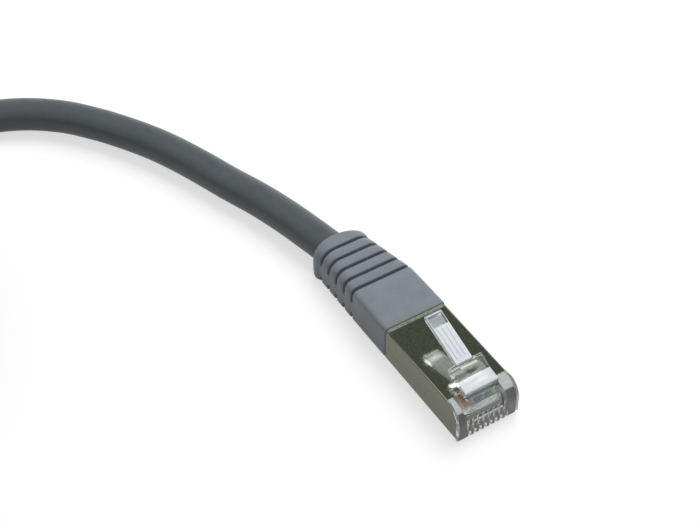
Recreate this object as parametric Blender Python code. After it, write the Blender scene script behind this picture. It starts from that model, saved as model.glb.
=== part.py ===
"""Shielded eight-wire patch cable: two plugs, their moulded boots and one cord wound in a coil.

Frame: metres, +X towards the near plug's nose, +Z up, the latch on top and the contacts below.
The origin lies on the surface that the cable rests on, under the middle of the near plug's nose.
"""

import math

import bmesh
import bpy
import numpy as np
from mathutils import Matrix, Vector

MM = 0.001
OVERSHOOT = 1.00 * MM  # how far a cutter runs past the surface that it opens

# Plug body, clear moulding
PLUG_LENGTH = 21.46 * MM
PLUG_WIDTH = 11.68 * MM
PLUG_HEIGHT = 6.60 * MM
NOSE_ROOF = 2.50 * MM  # how far behind the nose the roof starts to curve down
NOSE_KNEE = 3.30 * MM  # height at which the curve meets the upright front
NOSE_CHAMFER = 0.30 * MM
NOSE_POCKET_DEPTH = 0.35 * MM  # shallow pocket in the nose, below the latch
NOSE_POCKET_SILL = 3.40 * MM
NOSE_POCKET_WIDTH = 5.80 * MM
NOSE_POCKET_START = 2  # degrees round the nose's curve from its knee
NOSE_POCKET_END = 62
SEAT = 0.06 * MM  # clearance all round between pieces that fit each other
CAVITY_WALL = 0.70 * MM  # roof and floor left round the rear cavity
CAVITY_WIDTH = 8.60 * MM
CAVITY_FRONT = 12.60 * MM  # distance of the rear cavity's front wall behind the nose

# Eight contacts and the wires that they pierce
PINS = 8
PIN_PITCH = 1.02 * MM
SLOT_WIDTH = 0.50 * MM
SLOT_MOUTH_HEIGHT = 1.50 * MM  # the slots show on the front face up to this height
SLOT_MOUTH_DEPTH = 1.60 * MM
BLADE_THICKNESS = 0.35 * MM
BLADE_LENGTH = 4.50 * MM
BLADE_FOOT = 0.60 * MM  # height of a blade's lower edge
BLADE_SHOULDER = 3.00 * MM
BLADE_CORNER = 0.35 * MM
TINE_WIDTH = 0.50 * MM
TINE_PIERCE = 0.58 * MM  # how far a tine goes into its wire
TINE_STATIONS = (0.32, 0.78)  # places of the tines along a blade, as shares of its length
WIRE_DIAMETER = 0.86 * MM
WIRE_HEIGHT = 3.90 * MM
WIRE_NOSE_GAP = 1.35 * MM  # distance of the wires' cut ends behind the nose
COMB_LENGTH = 3.40 * MM
COMB_FRONT = 8.80 * MM
COMB_HEIGHT = 1.80 * MM
COMB_SIDE = 0.20 * MM  # comb left outside the outer wires
COMB_EDGE = 0.10 * MM
COMB_HOLE_EASE = 0.036 * MM
WIRE_GATHER_END = 0.70 * MM  # the wires run straight again this far ahead of the foil
WIRE_RISE_SHARE = 0.60  # behind the comb the wires first change height, over this share of the way
WIRE_SHIFT_START = 0.30  # and then draw together, from this share on
BUNDLE_DIAMETER = 4.20 * MM
BUNDLE_FRONT = 16.50 * MM
BUNDLE_HEIGHT = 3.45 * MM
BUNDLE_RING_RADIUS = 1.55 * MM  # radius at which the wires leave the foil

# Shield, folded from sheet
SHEET = 0.25 * MM
SHIELD_TOP_SETBACK = 3.84 * MM
SHIELD_CHEEK_SETBACK = 0.80 * MM
SHIELD_FLOOR_SETBACK = 8.20 * MM
SHIELD_CORNER = 0.30 * MM
SHIELD_SEAM = 0.20 * MM
LIP_HEIGHT = 0.32 * MM
CRIMP_FRONT = 23.60 * MM
CRIMP_LENGTH = 3.60 * MM
CRIMP_STRAP_WIDTH = 3.20 * MM
CRIMP_EASE = 0.10 * MM  # extra room in the collar for the foil's slight climb

# Latch
LATCH_AXIS_BACK = 2.45 * MM
LATCH_AXIS_HEIGHT = 6.70 * MM
KNUCKLE_RADIUS = 0.50 * MM
LATCH_WIDTH = 6.30 * MM
RAMP_FRONT_BACK = 2.35 * MM
RAMP_FRONT_HEIGHT = 7.90 * MM
RAMP_EDGE = 0.15 * MM
RAMP_STEP_BACK = 5.00 * MM
RAMP_STEP_HEIGHT = 8.30 * MM
RAMP_UNDERSIDE = 7.05 * MM  # height of the ramp's underside where it leaves the knuckle
SHOULDER_BACK = 7.20 * MM
SHOULDER_CREST = 0.70 * MM  # length of the flat on top of the shoulders
SHOULDER_TOP = 9.40 * MM
SHOULDER_FOOT = 7.95 * MM
LEVER_WIDTH = 3.10 * MM
LEVER_ROOT_HEIGHT = 9.10 * MM  # height of the lever's upper face at the shoulders
LEVER_TIP_BACK = 16.50 * MM
LEVER_TIP_HEIGHT = 12.00 * MM
LEVER_TIP_ROUND = 0.30 * MM
LEVER_THICKNESS = 0.95 * MM
LEVER_GUSSET = 1.20 * MM  # the lever is thicker over this length behind the shoulders
LEVER_OVERLAP = 1.50 * MM  # and runs this far into the ramp
WINDOW_LENGTH = 1.70 * MM
WINDOW_RIM = 0.30 * MM
WINDOW_DEPTH = 0.50 * MM
RIDGES = 3
RIDGE_WIDTH = 0.30 * MM
RIDGE_HEIGHT = 0.12 * MM
RIDGE_RAMP = 0.30 * MM
RIDGE_START = 0.90 * MM  # distance from the shoulders to the ridges
RIDGE_STOP = 0.40 * MM  # and from the ridges to the window

# Boot
BOOT_OVERLAP = 0.52 * MM  # how far the boot's front covers the moulding's rear end
BOOT_FRONT = PLUG_LENGTH - BOOT_OVERLAP
BOOT_REAR = 44.20 * MM
BOOT_WIDTH = 12.00 * MM
BOOT_FRONT_HEIGHT = 7.00 * MM
BOOT_FRONT_CORNER = 0.80 * MM
BOOT_BASE_CORNER = 0.70 * MM  # the lower corners stay this sharp all along the boot
BOOT_EDGE = 0.35 * MM  # rounding of the boot's front face
BOOT_NECK = 30.60 * MM  # the taper starts here, just ahead of the first groove
BOOT_NECK_CORNER = 1.10 * MM
BOOT_NECK_RISE = 0.5  # share of the change in height that the boot has made at its neck
BOOT_RIB_WIDTH = 10.20 * MM
BOOT_RIB_HEIGHT = 7.10 * MM
BOOT_RIB_CORNER = 2.80 * MM
BOOT_COLLAR_WIDTH = 10.70 * MM
BOOT_COLLAR_HEIGHT = 7.10 * MM
BOOT_COLLAR_CORNER = 3.00 * MM
BOOT_COLLAR_RISE = 0.60 * MM  # length over which the last rib swells into the collar
BOOT_COLLAR_END = 42.70 * MM  # behind this the collar rounds off towards the cord
BOOT_REAR_WALL = 0.38 * MM  # wall left round the cord at the boot's rear end
BOOT_SHIFT = 0.95 * MM  # sideways offset of the boot's rear end
GROOVES = 5
GROOVE_FIRST = 31.25 * MM
GROOVE_PITCH = 2.52 * MM
GROOVE_WIDTH = 0.50 * MM
GROOVE_FLARE = 0.26 * MM  # how much a groove widens to each side at its mouth
GROOVE_DEPTH = 1.00 * MM
GROOVE_UPPER_END = 4.30 * MM  # the upper grooves come down to this height
GROOVE_LOWER_END = 1.40 * MM  # and the lower ones come up to this height
GROOVE_FADE = 0.50 * MM  # over which their floor runs out
GROOVE_CORNER_SHARE = 0.6  # how much of their depth their floor's corners lose in radius
GROOVE_LEAST_CORNER = 0.10 * MM  # least radius that is left there
INNER_ROOM_BACK = 28.80 * MM
INNER_ROOM_WALL = 1.20 * MM
INNER_ROOM_FLOOR = 0.80 * MM

# Cord
CORD_DIAMETER = 6.30 * MM
CORD_BEND_START = 26.00 * MM  # behind the nose, the cord starts to bend sideways here
CORD_BEND = 1.78 * MM  # sideways offset of the cord where it leaves the boot
CORD_CLIMB_START = 23.80 * MM
CORD_EXIT_HEIGHT = 3.55 * MM
JACKET_START = 30.10 * MM
END_GAP = 0.30 * MM  # gap between the faces of two stretches of the cord
LEAD_SPACING = 12.6 * MM
TAIL_SPACING = 4.4 * MM
STRAIGHT_END = 0.6  # diameters that a stretch runs straight where it meets another piece
COIL_LOOP_POINTS = 24
COIL_MIDDLE_RADIUS = 31.50 * MM
COIL_STEP = 6.84 * MM  # from one turn to the next, and from one layer to the next
COIL_TURNS = 3.23
CLIMB_TURNS = 0.5
COIL_CENTRE = (-75.70 * MM, -90.80 * MM)

# Route of the free cord from the near boot to the coil, and from the coil to the far boot
LEAD_ROUTE = (
    (-50.6, -3.05, 3.47), (-55.9, -4.15, 3.30), (-62.7, -6.05, 3.20), (-69.2, -8.40, 3.15),
    (-75.2, -10.40, 3.15), (-81.2, -12.60, 3.15), (-85.6, -14.50, 3.15), (-89.7, -16.65, 3.15),
    (-93.6, -19.0, 3.15), (-97.2, -21.4, 3.15), (-102.9, -26.0, 3.15), (-107.6, -31.8, 3.15),
    (-110.6, -38.0, 3.15), (-112.1, -43.6, 3.15), (-112.7, -50.5, 3.15), (-112.73, -58.0, 3.15),
    (-112.73, -65.5, 3.15), (-112.73, -74.0, 3.15),
)
TAIL_ROUTE = (
    (-69.8, -128.8, 9.58), (-65.8, -129.15, 8.41), (-62.8, -129.25, 6.98), (-59.8, -129.2, 5.54),
    (-55.8, -128.8, 4.37),
)
FAR_PLUG_PLACE = (0.0 * MM, -124.5 * MM)

# Fineness of the faceted shapes
WELD = 0.001 * MM
NOSE_STEPS = 8
KNUCKLE_STEPS = 12
KNUCKLE_RESOLUTION = 4
COLLAR_RESOLUTION = 6
WIRE_RESOLUTION = 1
WIRE_GATHER_STEPS = 6
BUNDLE_RESOLUTION = 4
CORE_STEPS = 8
BOOT_CORNER_STEPS = 5
BOOT_SIDE_POINTS = 2
BOOT_REAR_STEPS = 4
CORNER_LIMIT = 0.98
CORD_RESOLUTION = 4
COIL_RESOLUTION = 1
ROUTE_SUBSTEPS = 16

BODY_FINISHES = {  # colour, roughness and metallic value
    "clear": ((0.80, 0.84, 0.86, 1.0), 0.08, 0.0),
    "nickel": ((0.42, 0.44, 0.38, 1.0), 0.16, 1.0),
    "gold": ((0.83, 0.60, 0.22, 1.0), 0.20, 1.0),
    "boot_grey": ((0.205, 0.232, 0.253, 1.0), 0.55, 0.0),
    "jacket_grey": ((0.190, 0.215, 0.235, 1.0), 0.50, 0.0),
    "foil": ((0.70, 0.71, 0.72, 1.0), 0.25, 1.0),
    "comb_white": ((0.72, 0.74, 0.74, 1.0), 0.30, 0.0),
}
WIRE_ROUGHNESS = 0.4
WIRE_COLOURS = (
    ("white_orange", (0.80, 0.62, 0.48, 1.0)), ("orange", (0.72, 0.20, 0.03, 1.0)),
    ("white_green", (0.62, 0.78, 0.64, 1.0)), ("blue", (0.05, 0.14, 0.48, 1.0)),
    ("white_blue", (0.60, 0.68, 0.82, 1.0)), ("green", (0.03, 0.36, 0.20, 1.0)),
    ("white_brown", (0.68, 0.58, 0.50, 1.0)), ("brown", (0.20, 0.09, 0.04, 1.0)),
)


# ---------------------------------------------------------------- scene and helpers


def start_scene():
    """An empty scene with one collection for the parts and one for the cutters."""
    for item in list(bpy.data.objects):
        bpy.data.objects.remove(item, do_unlink=True)
    found = {}
    for name in ("patch_cable", "cutters"):
        found[name] = bpy.data.collections.new(name)
        bpy.context.scene.collection.children.link(found[name])
    return found["patch_cable"], found["cutters"]


PARTS, CUTTERS = start_scene()


def finish(name, colour, roughness, metallic):
    """A Principled material of one colour."""
    surface = bpy.data.materials.new(name)
    surface.use_nodes = True
    shader = surface.node_tree.nodes["Principled BSDF"]
    shader.inputs["Base Color"].default_value = colour
    shader.inputs["Roughness"].default_value = roughness
    shader.inputs["Metallic"].default_value = metallic
    surface.diffuse_color = colour
    return surface


FINISHES = {key: finish(key, *values) for key, values in BODY_FINISHES.items()}
for wire_name, wire_colour in WIRE_COLOURS:
    FINISHES[wire_name] = finish("insulation_" + wire_name, wire_colour, WIRE_ROUGHNESS, 0.0)


def new_object(name, mesh, cutter=False):
    """Link a mesh as a part, or as a wire-drawn cutter that is not a part."""
    item = bpy.data.objects.new(name, mesh)
    if cutter:
        CUTTERS.objects.link(item)
        item.hide_render = True
        item.display_type = "WIRE"
    else:
        PARTS.objects.link(item)
    return item


def mesh_of(name, shape):
    """Weld a bmesh, turn its faces outwards and store it."""
    bmesh.ops.remove_doubles(shape, verts=shape.verts[:], dist=WELD)
    bmesh.ops.recalc_face_normals(shape, faces=shape.faces[:])
    mesh = bpy.data.meshes.new(name)
    shape.to_mesh(mesh)
    shape.free()
    return mesh


def mesh_from_curve(name, curve, place=None):
    """Make a curve a closed mesh: evaluate it, weld its caps and apply its place."""
    item = bpy.data.objects.new(name + "_curve", curve)
    CUTTERS.objects.link(item)
    if place is not None:
        item.matrix_world = place
    bpy.context.view_layer.update()
    evaluated = item.evaluated_get(bpy.context.evaluated_depsgraph_get())
    source = bpy.data.meshes.new_from_object(evaluated)
    shape = bmesh.new()
    shape.from_mesh(source)
    bmesh.ops.transform(shape, matrix=item.matrix_world, verts=shape.verts[:])
    bpy.data.objects.remove(item, do_unlink=True)
    bpy.data.meshes.remove(source)
    return mesh_of(name, shape)


def slab(name, outline, low, high):
    """An outline of (x, z) points made thick from y = low to y = high."""
    curve = bpy.data.curves.new(name, "CURVE")
    curve.dimensions = "2D"
    curve.fill_mode = "BOTH"
    curve.extrude = (high - low) / 2
    spline = curve.splines.new("POLY")
    spline.points.add(len(outline) - 1)
    for point, (along, up) in zip(spline.points, outline):
        point.co = (along, up, 0.0, 1.0)
    spline.use_cyclic_u = True
    upright = Matrix.Rotation(math.radians(90), 4, "X")
    return mesh_from_curve(name, curve, Matrix.Translation((0, (high + low) / 2, 0)) @ upright)


def tube(name, points, radius, resolution):
    """A round bar along points, with filled ends."""
    curve = bpy.data.curves.new(name, "CURVE")
    curve.dimensions = "3D"
    curve.bevel_depth = radius
    curve.bevel_resolution = resolution
    curve.use_fill_caps = True
    spline = curve.splines.new("POLY")
    spline.points.add(len(points) - 1)
    for point, place in zip(spline.points, points):
        point.co = (*place, 1.0)
    return mesh_from_curve(name, curve)


def block(name, low, high, bevel=0.0, long_only=False):
    """A box between two corners, its edges (or only those along X) rounded off by bevel."""
    shape = bmesh.new()
    size = Vector(high) - Vector(low)
    middle = (Vector(high) + Vector(low)) / 2
    placing = Matrix.Translation(middle) @ Matrix.Diagonal((*size, 1.0))
    bmesh.ops.create_cube(shape, size=1.0, matrix=placing)
    if bevel:
        edges = shape.edges[:]
        if long_only:
            edges = [e for e in edges if abs(e.verts[0].co.x - e.verts[1].co.x) > size.x / 2]
        bmesh.ops.bevel(shape, geom=edges, offset=bevel, segments=2, affect="EDGES", profile=0.5)
    return mesh_of(name, shape)


def joined(name, meshes):
    """Several separate closed shapes kept as one mesh."""
    shape = bmesh.new()
    for mesh in meshes:
        shape.from_mesh(mesh)
    return mesh_of(name, shape)


def combine(target, operation, mesh):
    """Give target an exact Boolean with a hidden tool made from mesh."""
    tool = new_object(target.name + "_" + mesh.name, mesh, cutter=True)
    step = target.modifiers.new(mesh.name, "BOOLEAN")
    step.operation = operation
    step.solver = "EXACT"
    step.object = tool


def settled(item):
    """Replace an object's mesh by its evaluated one and clear its modifiers and their tools."""
    bpy.context.view_layer.update()
    evaluated = item.evaluated_get(bpy.context.evaluated_depsgraph_get())
    mesh = bpy.data.meshes.new_from_object(evaluated)
    tools = [step.object for step in item.modifiers]
    item.modifiers.clear()
    item.data = mesh
    for tool in tools:
        bpy.data.objects.remove(tool, do_unlink=True)
    return item


def dress(item, key, smooth_angle=None):
    """One material on the whole piece, smooth where neighbouring faces nearly line up."""
    item.data.materials.clear()
    item.data.materials.append(FINISHES[key])
    if smooth_angle:
        item.data.shade_smooth()
        item.data.set_sharp_from_angle(angle=math.radians(smooth_angle))
    return item


def ellipse(centre, radii, start, end, steps):
    """Points of an elliptical arc in degrees, both ends included."""
    angles = [math.radians(start + (end - start) * k / steps) for k in range(steps + 1)]
    return [(centre[0] + radii[0] * math.cos(a), centre[1] + radii[1] * math.sin(a)) for a in angles]


def ease(value):
    """Ease from 0 to 1."""
    value = min(max(value, 0.0), 1.0)
    return value * value * (3 - 2 * value)


def between(first, last, share):
    """The number a share of the way from first to last."""
    return first + (last - first) * share


# ---------------------------------------------------------------- plug


PIN_PLACES = [(k - (PINS - 1) / 2) * PIN_PITCH for k in range(PINS)]
BLADE_FRONT = -(SLOT_MOUTH_DEPTH + 2 * SEAT)
BLADE_REAR = BLADE_FRONT - BLADE_LENGTH
WIRE_RADIUS = WIRE_DIAMETER / 2
COMB_REAR = COMB_FRONT + COMB_LENGTH
COMB_HALF = PIN_PLACES[-1] + WIRE_RADIUS + COMB_SIDE
SHELL_INSET = SHEET + SEAT  # from the plug's outer faces to the moulding inside the shield
# Height of the crimp strap's upper face where it leaves the plug body, below the boot's roof
STRAP_CRANK = BOOT_FRONT_HEIGHT - INNER_ROOM_FLOOR - 2 * SEAT


def nose_curve():
    """Front of the moulding from its lower chamfer up to the roof, seen from the side."""
    arc = ellipse((-NOSE_ROOF, NOSE_KNEE), (NOSE_ROOF, PLUG_HEIGHT - NOSE_KNEE), 0, 90, NOSE_STEPS)
    return [(-NOSE_CHAMFER, 0.0), (0.0, NOSE_CHAMFER)] + arc


def cheek_curve(forward=0.0):
    """Front edge of the shield's cheeks, from the floor up to the roof."""
    reach = SHIELD_TOP_SETBACK - SHIELD_CHEEK_SETBACK
    centre = (-SHIELD_TOP_SETBACK + forward, NOSE_KNEE)
    arc = ellipse(centre, (reach, PLUG_HEIGHT - NOSE_KNEE), 0, 90, NOSE_STEPS)
    return [(-SHIELD_CHEEK_SETBACK + forward, 0.0)] + arc


def slot_meshes():
    """One upright slot for each contact, open below and at the front."""
    rear = BLADE_REAR - 3 * SEAT
    top = WIRE_HEIGHT - WIRE_RADIUS
    outline = [
        (OVERSHOOT, -OVERSHOOT), (OVERSHOOT, SLOT_MOUTH_HEIGHT), (-SLOT_MOUTH_DEPTH, SLOT_MOUTH_HEIGHT),
        (-SLOT_MOUTH_DEPTH, top), (rear, top), (rear, -OVERSHOOT),
    ]
    return [slab("slot", outline, y - SLOT_WIDTH / 2, y + SLOT_WIDTH / 2) for y in PIN_PLACES]


def housing_rooms():
    """The spaces inside the moulding: name, low corner and high corner."""
    cavity_low = SHELL_INSET + CAVITY_WALL
    cavity_high = PLUG_HEIGHT - SHELL_INSET - CAVITY_WALL
    wire_room = WIRE_RADIUS + SEAT
    wire_half = PIN_PLACES[-1] + wire_room
    comb_half, comb_rise = COMB_HALF + SEAT, COMB_HEIGHT / 2 + SEAT
    strap_half = CRIMP_STRAP_WIDTH / 2 + SEAT
    return (
        ("cavity", (-PLUG_LENGTH - OVERSHOOT, -CAVITY_WIDTH / 2, cavity_low),
         (-CAVITY_FRONT, CAVITY_WIDTH / 2, cavity_high)),
        ("comb_room", (-CAVITY_FRONT - SEAT, -comb_half, WIRE_HEIGHT - comb_rise),
         (-COMB_FRONT + SEAT, comb_half, WIRE_HEIGHT + comb_rise)),
        ("wire_room", (-COMB_REAR - SEAT, -wire_half, WIRE_HEIGHT - wire_room),
         (-WIRE_NOSE_GAP + 2 * SEAT, wire_half, WIRE_HEIGHT + wire_room)),
        ("strap_notch", (-PLUG_LENGTH - OVERSHOOT, -strap_half, STRAP_CRANK - SHELL_INSET),
         (-BOOT_FRONT + 2 * SHELL_INSET, strap_half, PLUG_HEIGHT)),
    )


def make_housing():
    """The clear moulding: full width round the nose, and drawn in behind it to fit the shield."""
    half = PLUG_WIDTH / 2
    roof = PLUG_HEIGHT - SHELL_INSET
    top_step, floor_step = -SHIELD_TOP_SETBACK + SEAT, -SHIELD_FLOOR_SETBACK + SEAT
    side_view = nose_curve() + [
        (top_step, PLUG_HEIGHT), (top_step, roof), (-PLUG_LENGTH, roof), (-PLUG_LENGTH, SHELL_INSET),
        (floor_step, SHELL_INSET), (floor_step, 0.0),
    ]
    housing = new_object("near_plug_housing", slab("body", side_view, -half, half))
    behind, above = -PLUG_LENGTH - OVERSHOOT, PLUG_HEIGHT + OVERSHOOT
    curve = cheek_curve(SEAT)
    flank = [(curve[0][0], -OVERSHOOT), *curve[1:], (top_step, above), (behind, above), (behind, -OVERSHOOT)]
    for name, low in (("left_flank", half - SHELL_INSET), ("right_flank", -half - OVERSHOOT)):
        combine(housing, "DIFFERENCE", slab(name, flank, low, low + SHELL_INSET + OVERSHOOT))
    for name, low, high in housing_rooms():
        combine(housing, "DIFFERENCE", block(name, low, high))
    combine(housing, "DIFFERENCE", joined("slots", slot_meshes()))

    reach = LATCH_WIDTH / 2 + SEAT
    knuckle_line = [(-LATCH_AXIS_BACK, side * reach, LATCH_AXIS_HEIGHT) for side in (-1, 1)]
    room = tube("knuckle_room", knuckle_line, KNUCKLE_RADIUS + SEAT, KNUCKLE_RESOLUTION)
    combine(housing, "DIFFERENCE", room)
    radii = (NOSE_ROOF - NOSE_POCKET_DEPTH, PLUG_HEIGHT - NOSE_KNEE - NOSE_POCKET_DEPTH)
    floor = ellipse((-NOSE_ROOF, NOSE_KNEE), radii, NOSE_POCKET_START, NOSE_POCKET_END, NOSE_STEPS)
    pocket = [(OVERSHOOT, NOSE_POCKET_SILL), (-NOSE_POCKET_DEPTH, NOSE_POCKET_SILL), *floor]
    pocket.append((OVERSHOOT, floor[-1][1] + OVERSHOOT))
    combine(housing, "DIFFERENCE", slab("pocket", pocket, -NOSE_POCKET_WIDTH / 2, NOSE_POCKET_WIDTH / 2))
    return dress(settled(housing), "clear", 35)


def add_crimp(can, rear):
    """The crimp collar that grips the foil, on a cranked strap from the shield's roof."""
    inner = BUNDLE_DIAMETER / 2 + SEAT
    height = cord_height(CRIMP_FRONT + CRIMP_LENGTH / 2)
    low = height + inner + SHEET / 4
    middle = -CRIMP_FRONT - CRIMP_LENGTH / 2
    under = PLUG_HEIGHT - SHEET
    strap = [
        (rear + 2 * SHEET, under + SHEET / 4), (rear, under + SHEET / 4), (rear, under - SEAT),
        (-BOOT_FRONT, under - SEAT), (-PLUG_LENGTH, STRAP_CRANK), (-CRIMP_FRONT, low + SHEET),
        (middle, low + SHEET), (middle, low), (-CRIMP_FRONT, low), (-PLUG_LENGTH, STRAP_CRANK - SHEET),
        (rear + 2 * SHEET, under - SEAT - SHEET),
    ]
    combine(can, "UNION", slab("strap", strap, -CRIMP_STRAP_WIDTH / 2, CRIMP_STRAP_WIDTH / 2))
    ends = [(-CRIMP_FRONT, 0.0, height), (-CRIMP_FRONT - CRIMP_LENGTH, 0.0, height)]
    combine(can, "UNION", tube("collar", ends, inner + SHEET, COLLAR_RESOLUTION))
    bore = [(ends[0][0] + OVERSHOOT, 0.0, height), (ends[1][0] - OVERSHOOT, 0.0, height)]
    combine(can, "DIFFERENCE", tube("collar_bore", bore, inner + CRIMP_EASE, COLLAR_RESOLUTION))


def make_shield():
    """The folded can: roof, floor and cheeks, a turned-up rear lip and a crimp collar on a strap."""
    half = PLUG_WIDTH / 2
    rear = -(BOOT_FRONT - SEAT)
    body = block("can", (rear, -half, 0.0), (0.0, half, PLUG_HEIGHT), SHIELD_CORNER, long_only=True)
    can = new_object("near_shield", body)
    side = half - SHEET
    above = PLUG_HEIGHT + OVERSHOOT
    combine(can, "DIFFERENCE", block(
        "hollow", (rear - OVERSHOOT, -side, SHEET), (OVERSHOOT, side, PLUG_HEIGHT - SHEET)))
    ahead = [(OVERSHOOT, -OVERSHOOT), (-SHIELD_CHEEK_SETBACK, -OVERSHOOT), *cheek_curve()[1:]]
    ahead += [(-SHIELD_TOP_SETBACK, above), (OVERSHOOT, above)]
    combine(can, "DIFFERENCE", slab("front", ahead, -PLUG_WIDTH, PLUG_WIDTH))
    combine(can, "DIFFERENCE", block(
        "roof_front", (-SHIELD_TOP_SETBACK, -side, PLUG_HEIGHT - 2 * SHEET), (OVERSHOOT, side, above)))
    combine(can, "DIFFERENCE", block(
        "floor_front", (-SHIELD_FLOOR_SETBACK, -side, -OVERSHOOT), (OVERSHOOT, side, 2 * SHEET)))
    combine(can, "DIFFERENCE", block(
        "seam", (rear - OVERSHOOT, -SHIELD_SEAM / 2, -OVERSHOOT), (OVERSHOOT, SHIELD_SEAM / 2, 2 * SHEET)))
    lip_half = half - SHIELD_CORNER
    combine(can, "UNION", block(
        "lip", (rear, -lip_half, PLUG_HEIGHT - SHEET), (rear + SHEET, lip_half, PLUG_HEIGHT + LIP_HEIGHT)))
    add_crimp(can, rear)
    return dress(settled(can), "nickel", 30)


def lever_top(back):
    """A point of the lever's upper face, a distance behind the nose."""
    share = (back - SHOULDER_BACK) / (LEVER_TIP_BACK - SHOULDER_BACK)
    return (-back, between(LEVER_ROOT_HEIGHT, LEVER_TIP_HEIGHT, share))


def lowered(point, drop):
    """The same point of an outline, moved down."""
    return (point[0], point[1] - drop)


def ramp_outline():
    """The latch's wide front from the side: knuckle, blunt front edge, step, shoulders, underside."""
    front = -RAMP_FRONT_BACK
    lean = math.degrees(math.acos((LATCH_AXIS_BACK - RAMP_FRONT_BACK) / KNUCKLE_RADIUS))
    radii = (KNUCKLE_RADIUS, KNUCKLE_RADIUS)
    knuckle = ellipse((-LATCH_AXIS_BACK, LATCH_AXIS_HEIGHT), radii, 180, 360 + lean, KNUCKLE_STEPS)
    return knuckle + [
        (front, RAMP_FRONT_HEIGHT - RAMP_EDGE), (front - RAMP_EDGE, RAMP_FRONT_HEIGHT),
        (-RAMP_STEP_BACK, RAMP_STEP_HEIGHT), (-SHOULDER_BACK + SHOULDER_CREST, SHOULDER_TOP),
        (-SHOULDER_BACK, SHOULDER_TOP), (-SHOULDER_BACK, SHOULDER_FOOT),
        (-LATCH_AXIS_BACK - KNUCKLE_RADIUS, RAMP_UNDERSIDE),
    ]


def lever_outline():
    """The lever from the side: a thicker root behind the shoulders and a rounded tip."""
    root, gusset = SHOULDER_BACK - LEVER_OVERLAP, SHOULDER_BACK + LEVER_GUSSET
    first, last = SHOULDER_BACK - SHOULDER_CREST, LEVER_TIP_BACK - LEVER_TIP_ROUND
    return [
        lever_top(first), lever_top(last), (-LEVER_TIP_BACK, LEVER_TIP_HEIGHT - LEVER_TIP_ROUND),
        (-LEVER_TIP_BACK, LEVER_TIP_HEIGHT - LEVER_THICKNESS + LEVER_TIP_ROUND),
        lowered(lever_top(last), LEVER_THICKNESS), lowered(lever_top(gusset), LEVER_THICKNESS),
        (-root, SHOULDER_FOOT),
    ]


def make_latch():
    """The sprung latch: hinge knuckle, wide ramp with locking shoulders, and the ribbed lever."""
    axis = Vector((-LATCH_AXIS_BACK, 0.0, LATCH_AXIS_HEIGHT))
    half = LATCH_WIDTH / 2
    latch = new_object("near_latch", slab("ramp", ramp_outline(), -half, half))
    combine(latch, "UNION", slab("lever", lever_outline(), -LEVER_WIDTH / 2, LEVER_WIDTH / 2))

    window_back = LEVER_TIP_BACK - LEVER_TIP_ROUND - WINDOW_RIM
    window_front = window_back - WINDOW_LENGTH
    above = LEVER_TIP_HEIGHT + OVERSHOOT
    window = [
        lowered(lever_top(window_front), WINDOW_DEPTH), (-window_front, above),
        (-window_back, above), lowered(lever_top(window_back), WINDOW_DEPTH),
    ]
    window_half = LEVER_WIDTH / 2 - WINDOW_RIM
    combine(latch, "DIFFERENCE", slab("window", window, -window_half, window_half))

    first, last = SHOULDER_BACK + RIDGE_START, window_front - RIDGE_STOP
    ridge = [
        lowered(lever_top(first), RIDGE_HEIGHT), lowered(lever_top(first), -RIDGE_HEIGHT / 4),
        lowered(lever_top(first + RIDGE_RAMP), -RIDGE_HEIGHT), lowered(lever_top(last), -RIDGE_HEIGHT),
        lowered(lever_top(last), RIDGE_HEIGHT),
    ]
    pitch = 2 * window_half / RIDGES
    middles = [(k - (RIDGES - 1) / 2) * pitch for k in range(RIDGES)]
    ridges = [slab("ridge", ridge, y - RIDGE_WIDTH / 2, y + RIDGE_WIDTH / 2) for y in middles]
    combine(latch, "UNION", joined("ridges", ridges))
    settled(latch)
    latch.data.transform(Matrix.Translation(-axis))
    hinge = bpy.data.objects.new("near_latch_hinge", None)
    PARTS.objects.link(hinge)
    hinge.location = axis
    latch.parent = hinge
    return dress(latch, "clear", 30), hinge


TINE_TIP = WIRE_HEIGHT - WIRE_RADIUS + TINE_PIERCE
TINE_MIDDLES = [BLADE_FRONT - share * BLADE_LENGTH for share in TINE_STATIONS]


def tine(middle, spread=0.0, rise=0.0):
    """A pointed tine from the side: its rear foot, its tip and its front foot."""
    half = TINE_WIDTH / 2 + spread
    return [(middle - half, BLADE_SHOULDER), (middle, TINE_TIP + rise), (middle + half, BLADE_SHOULDER)]


def make_contacts():
    """Eight gilt blades, one in each slot: flat foot, cut lower corners and two piercing tines."""
    outline = [(BLADE_FRONT, BLADE_FOOT + BLADE_CORNER), (BLADE_FRONT - BLADE_CORNER, BLADE_FOOT)]
    outline += [(BLADE_REAR + BLADE_CORNER, BLADE_FOOT), (BLADE_REAR, BLADE_FOOT + BLADE_CORNER)]
    outline.append((BLADE_REAR, BLADE_SHOULDER))
    for middle in sorted(TINE_MIDDLES):
        outline += tine(middle)
    outline.append((BLADE_FRONT, BLADE_SHOULDER))
    made = []
    for number, y in enumerate(PIN_PLACES, 1):
        mesh = slab("blade", outline, y - BLADE_THICKNESS / 2, y + BLADE_THICKNESS / 2)
        made.append(dress(new_object(f"near_contact_{number}", mesh), "gold"))
    return made


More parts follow.
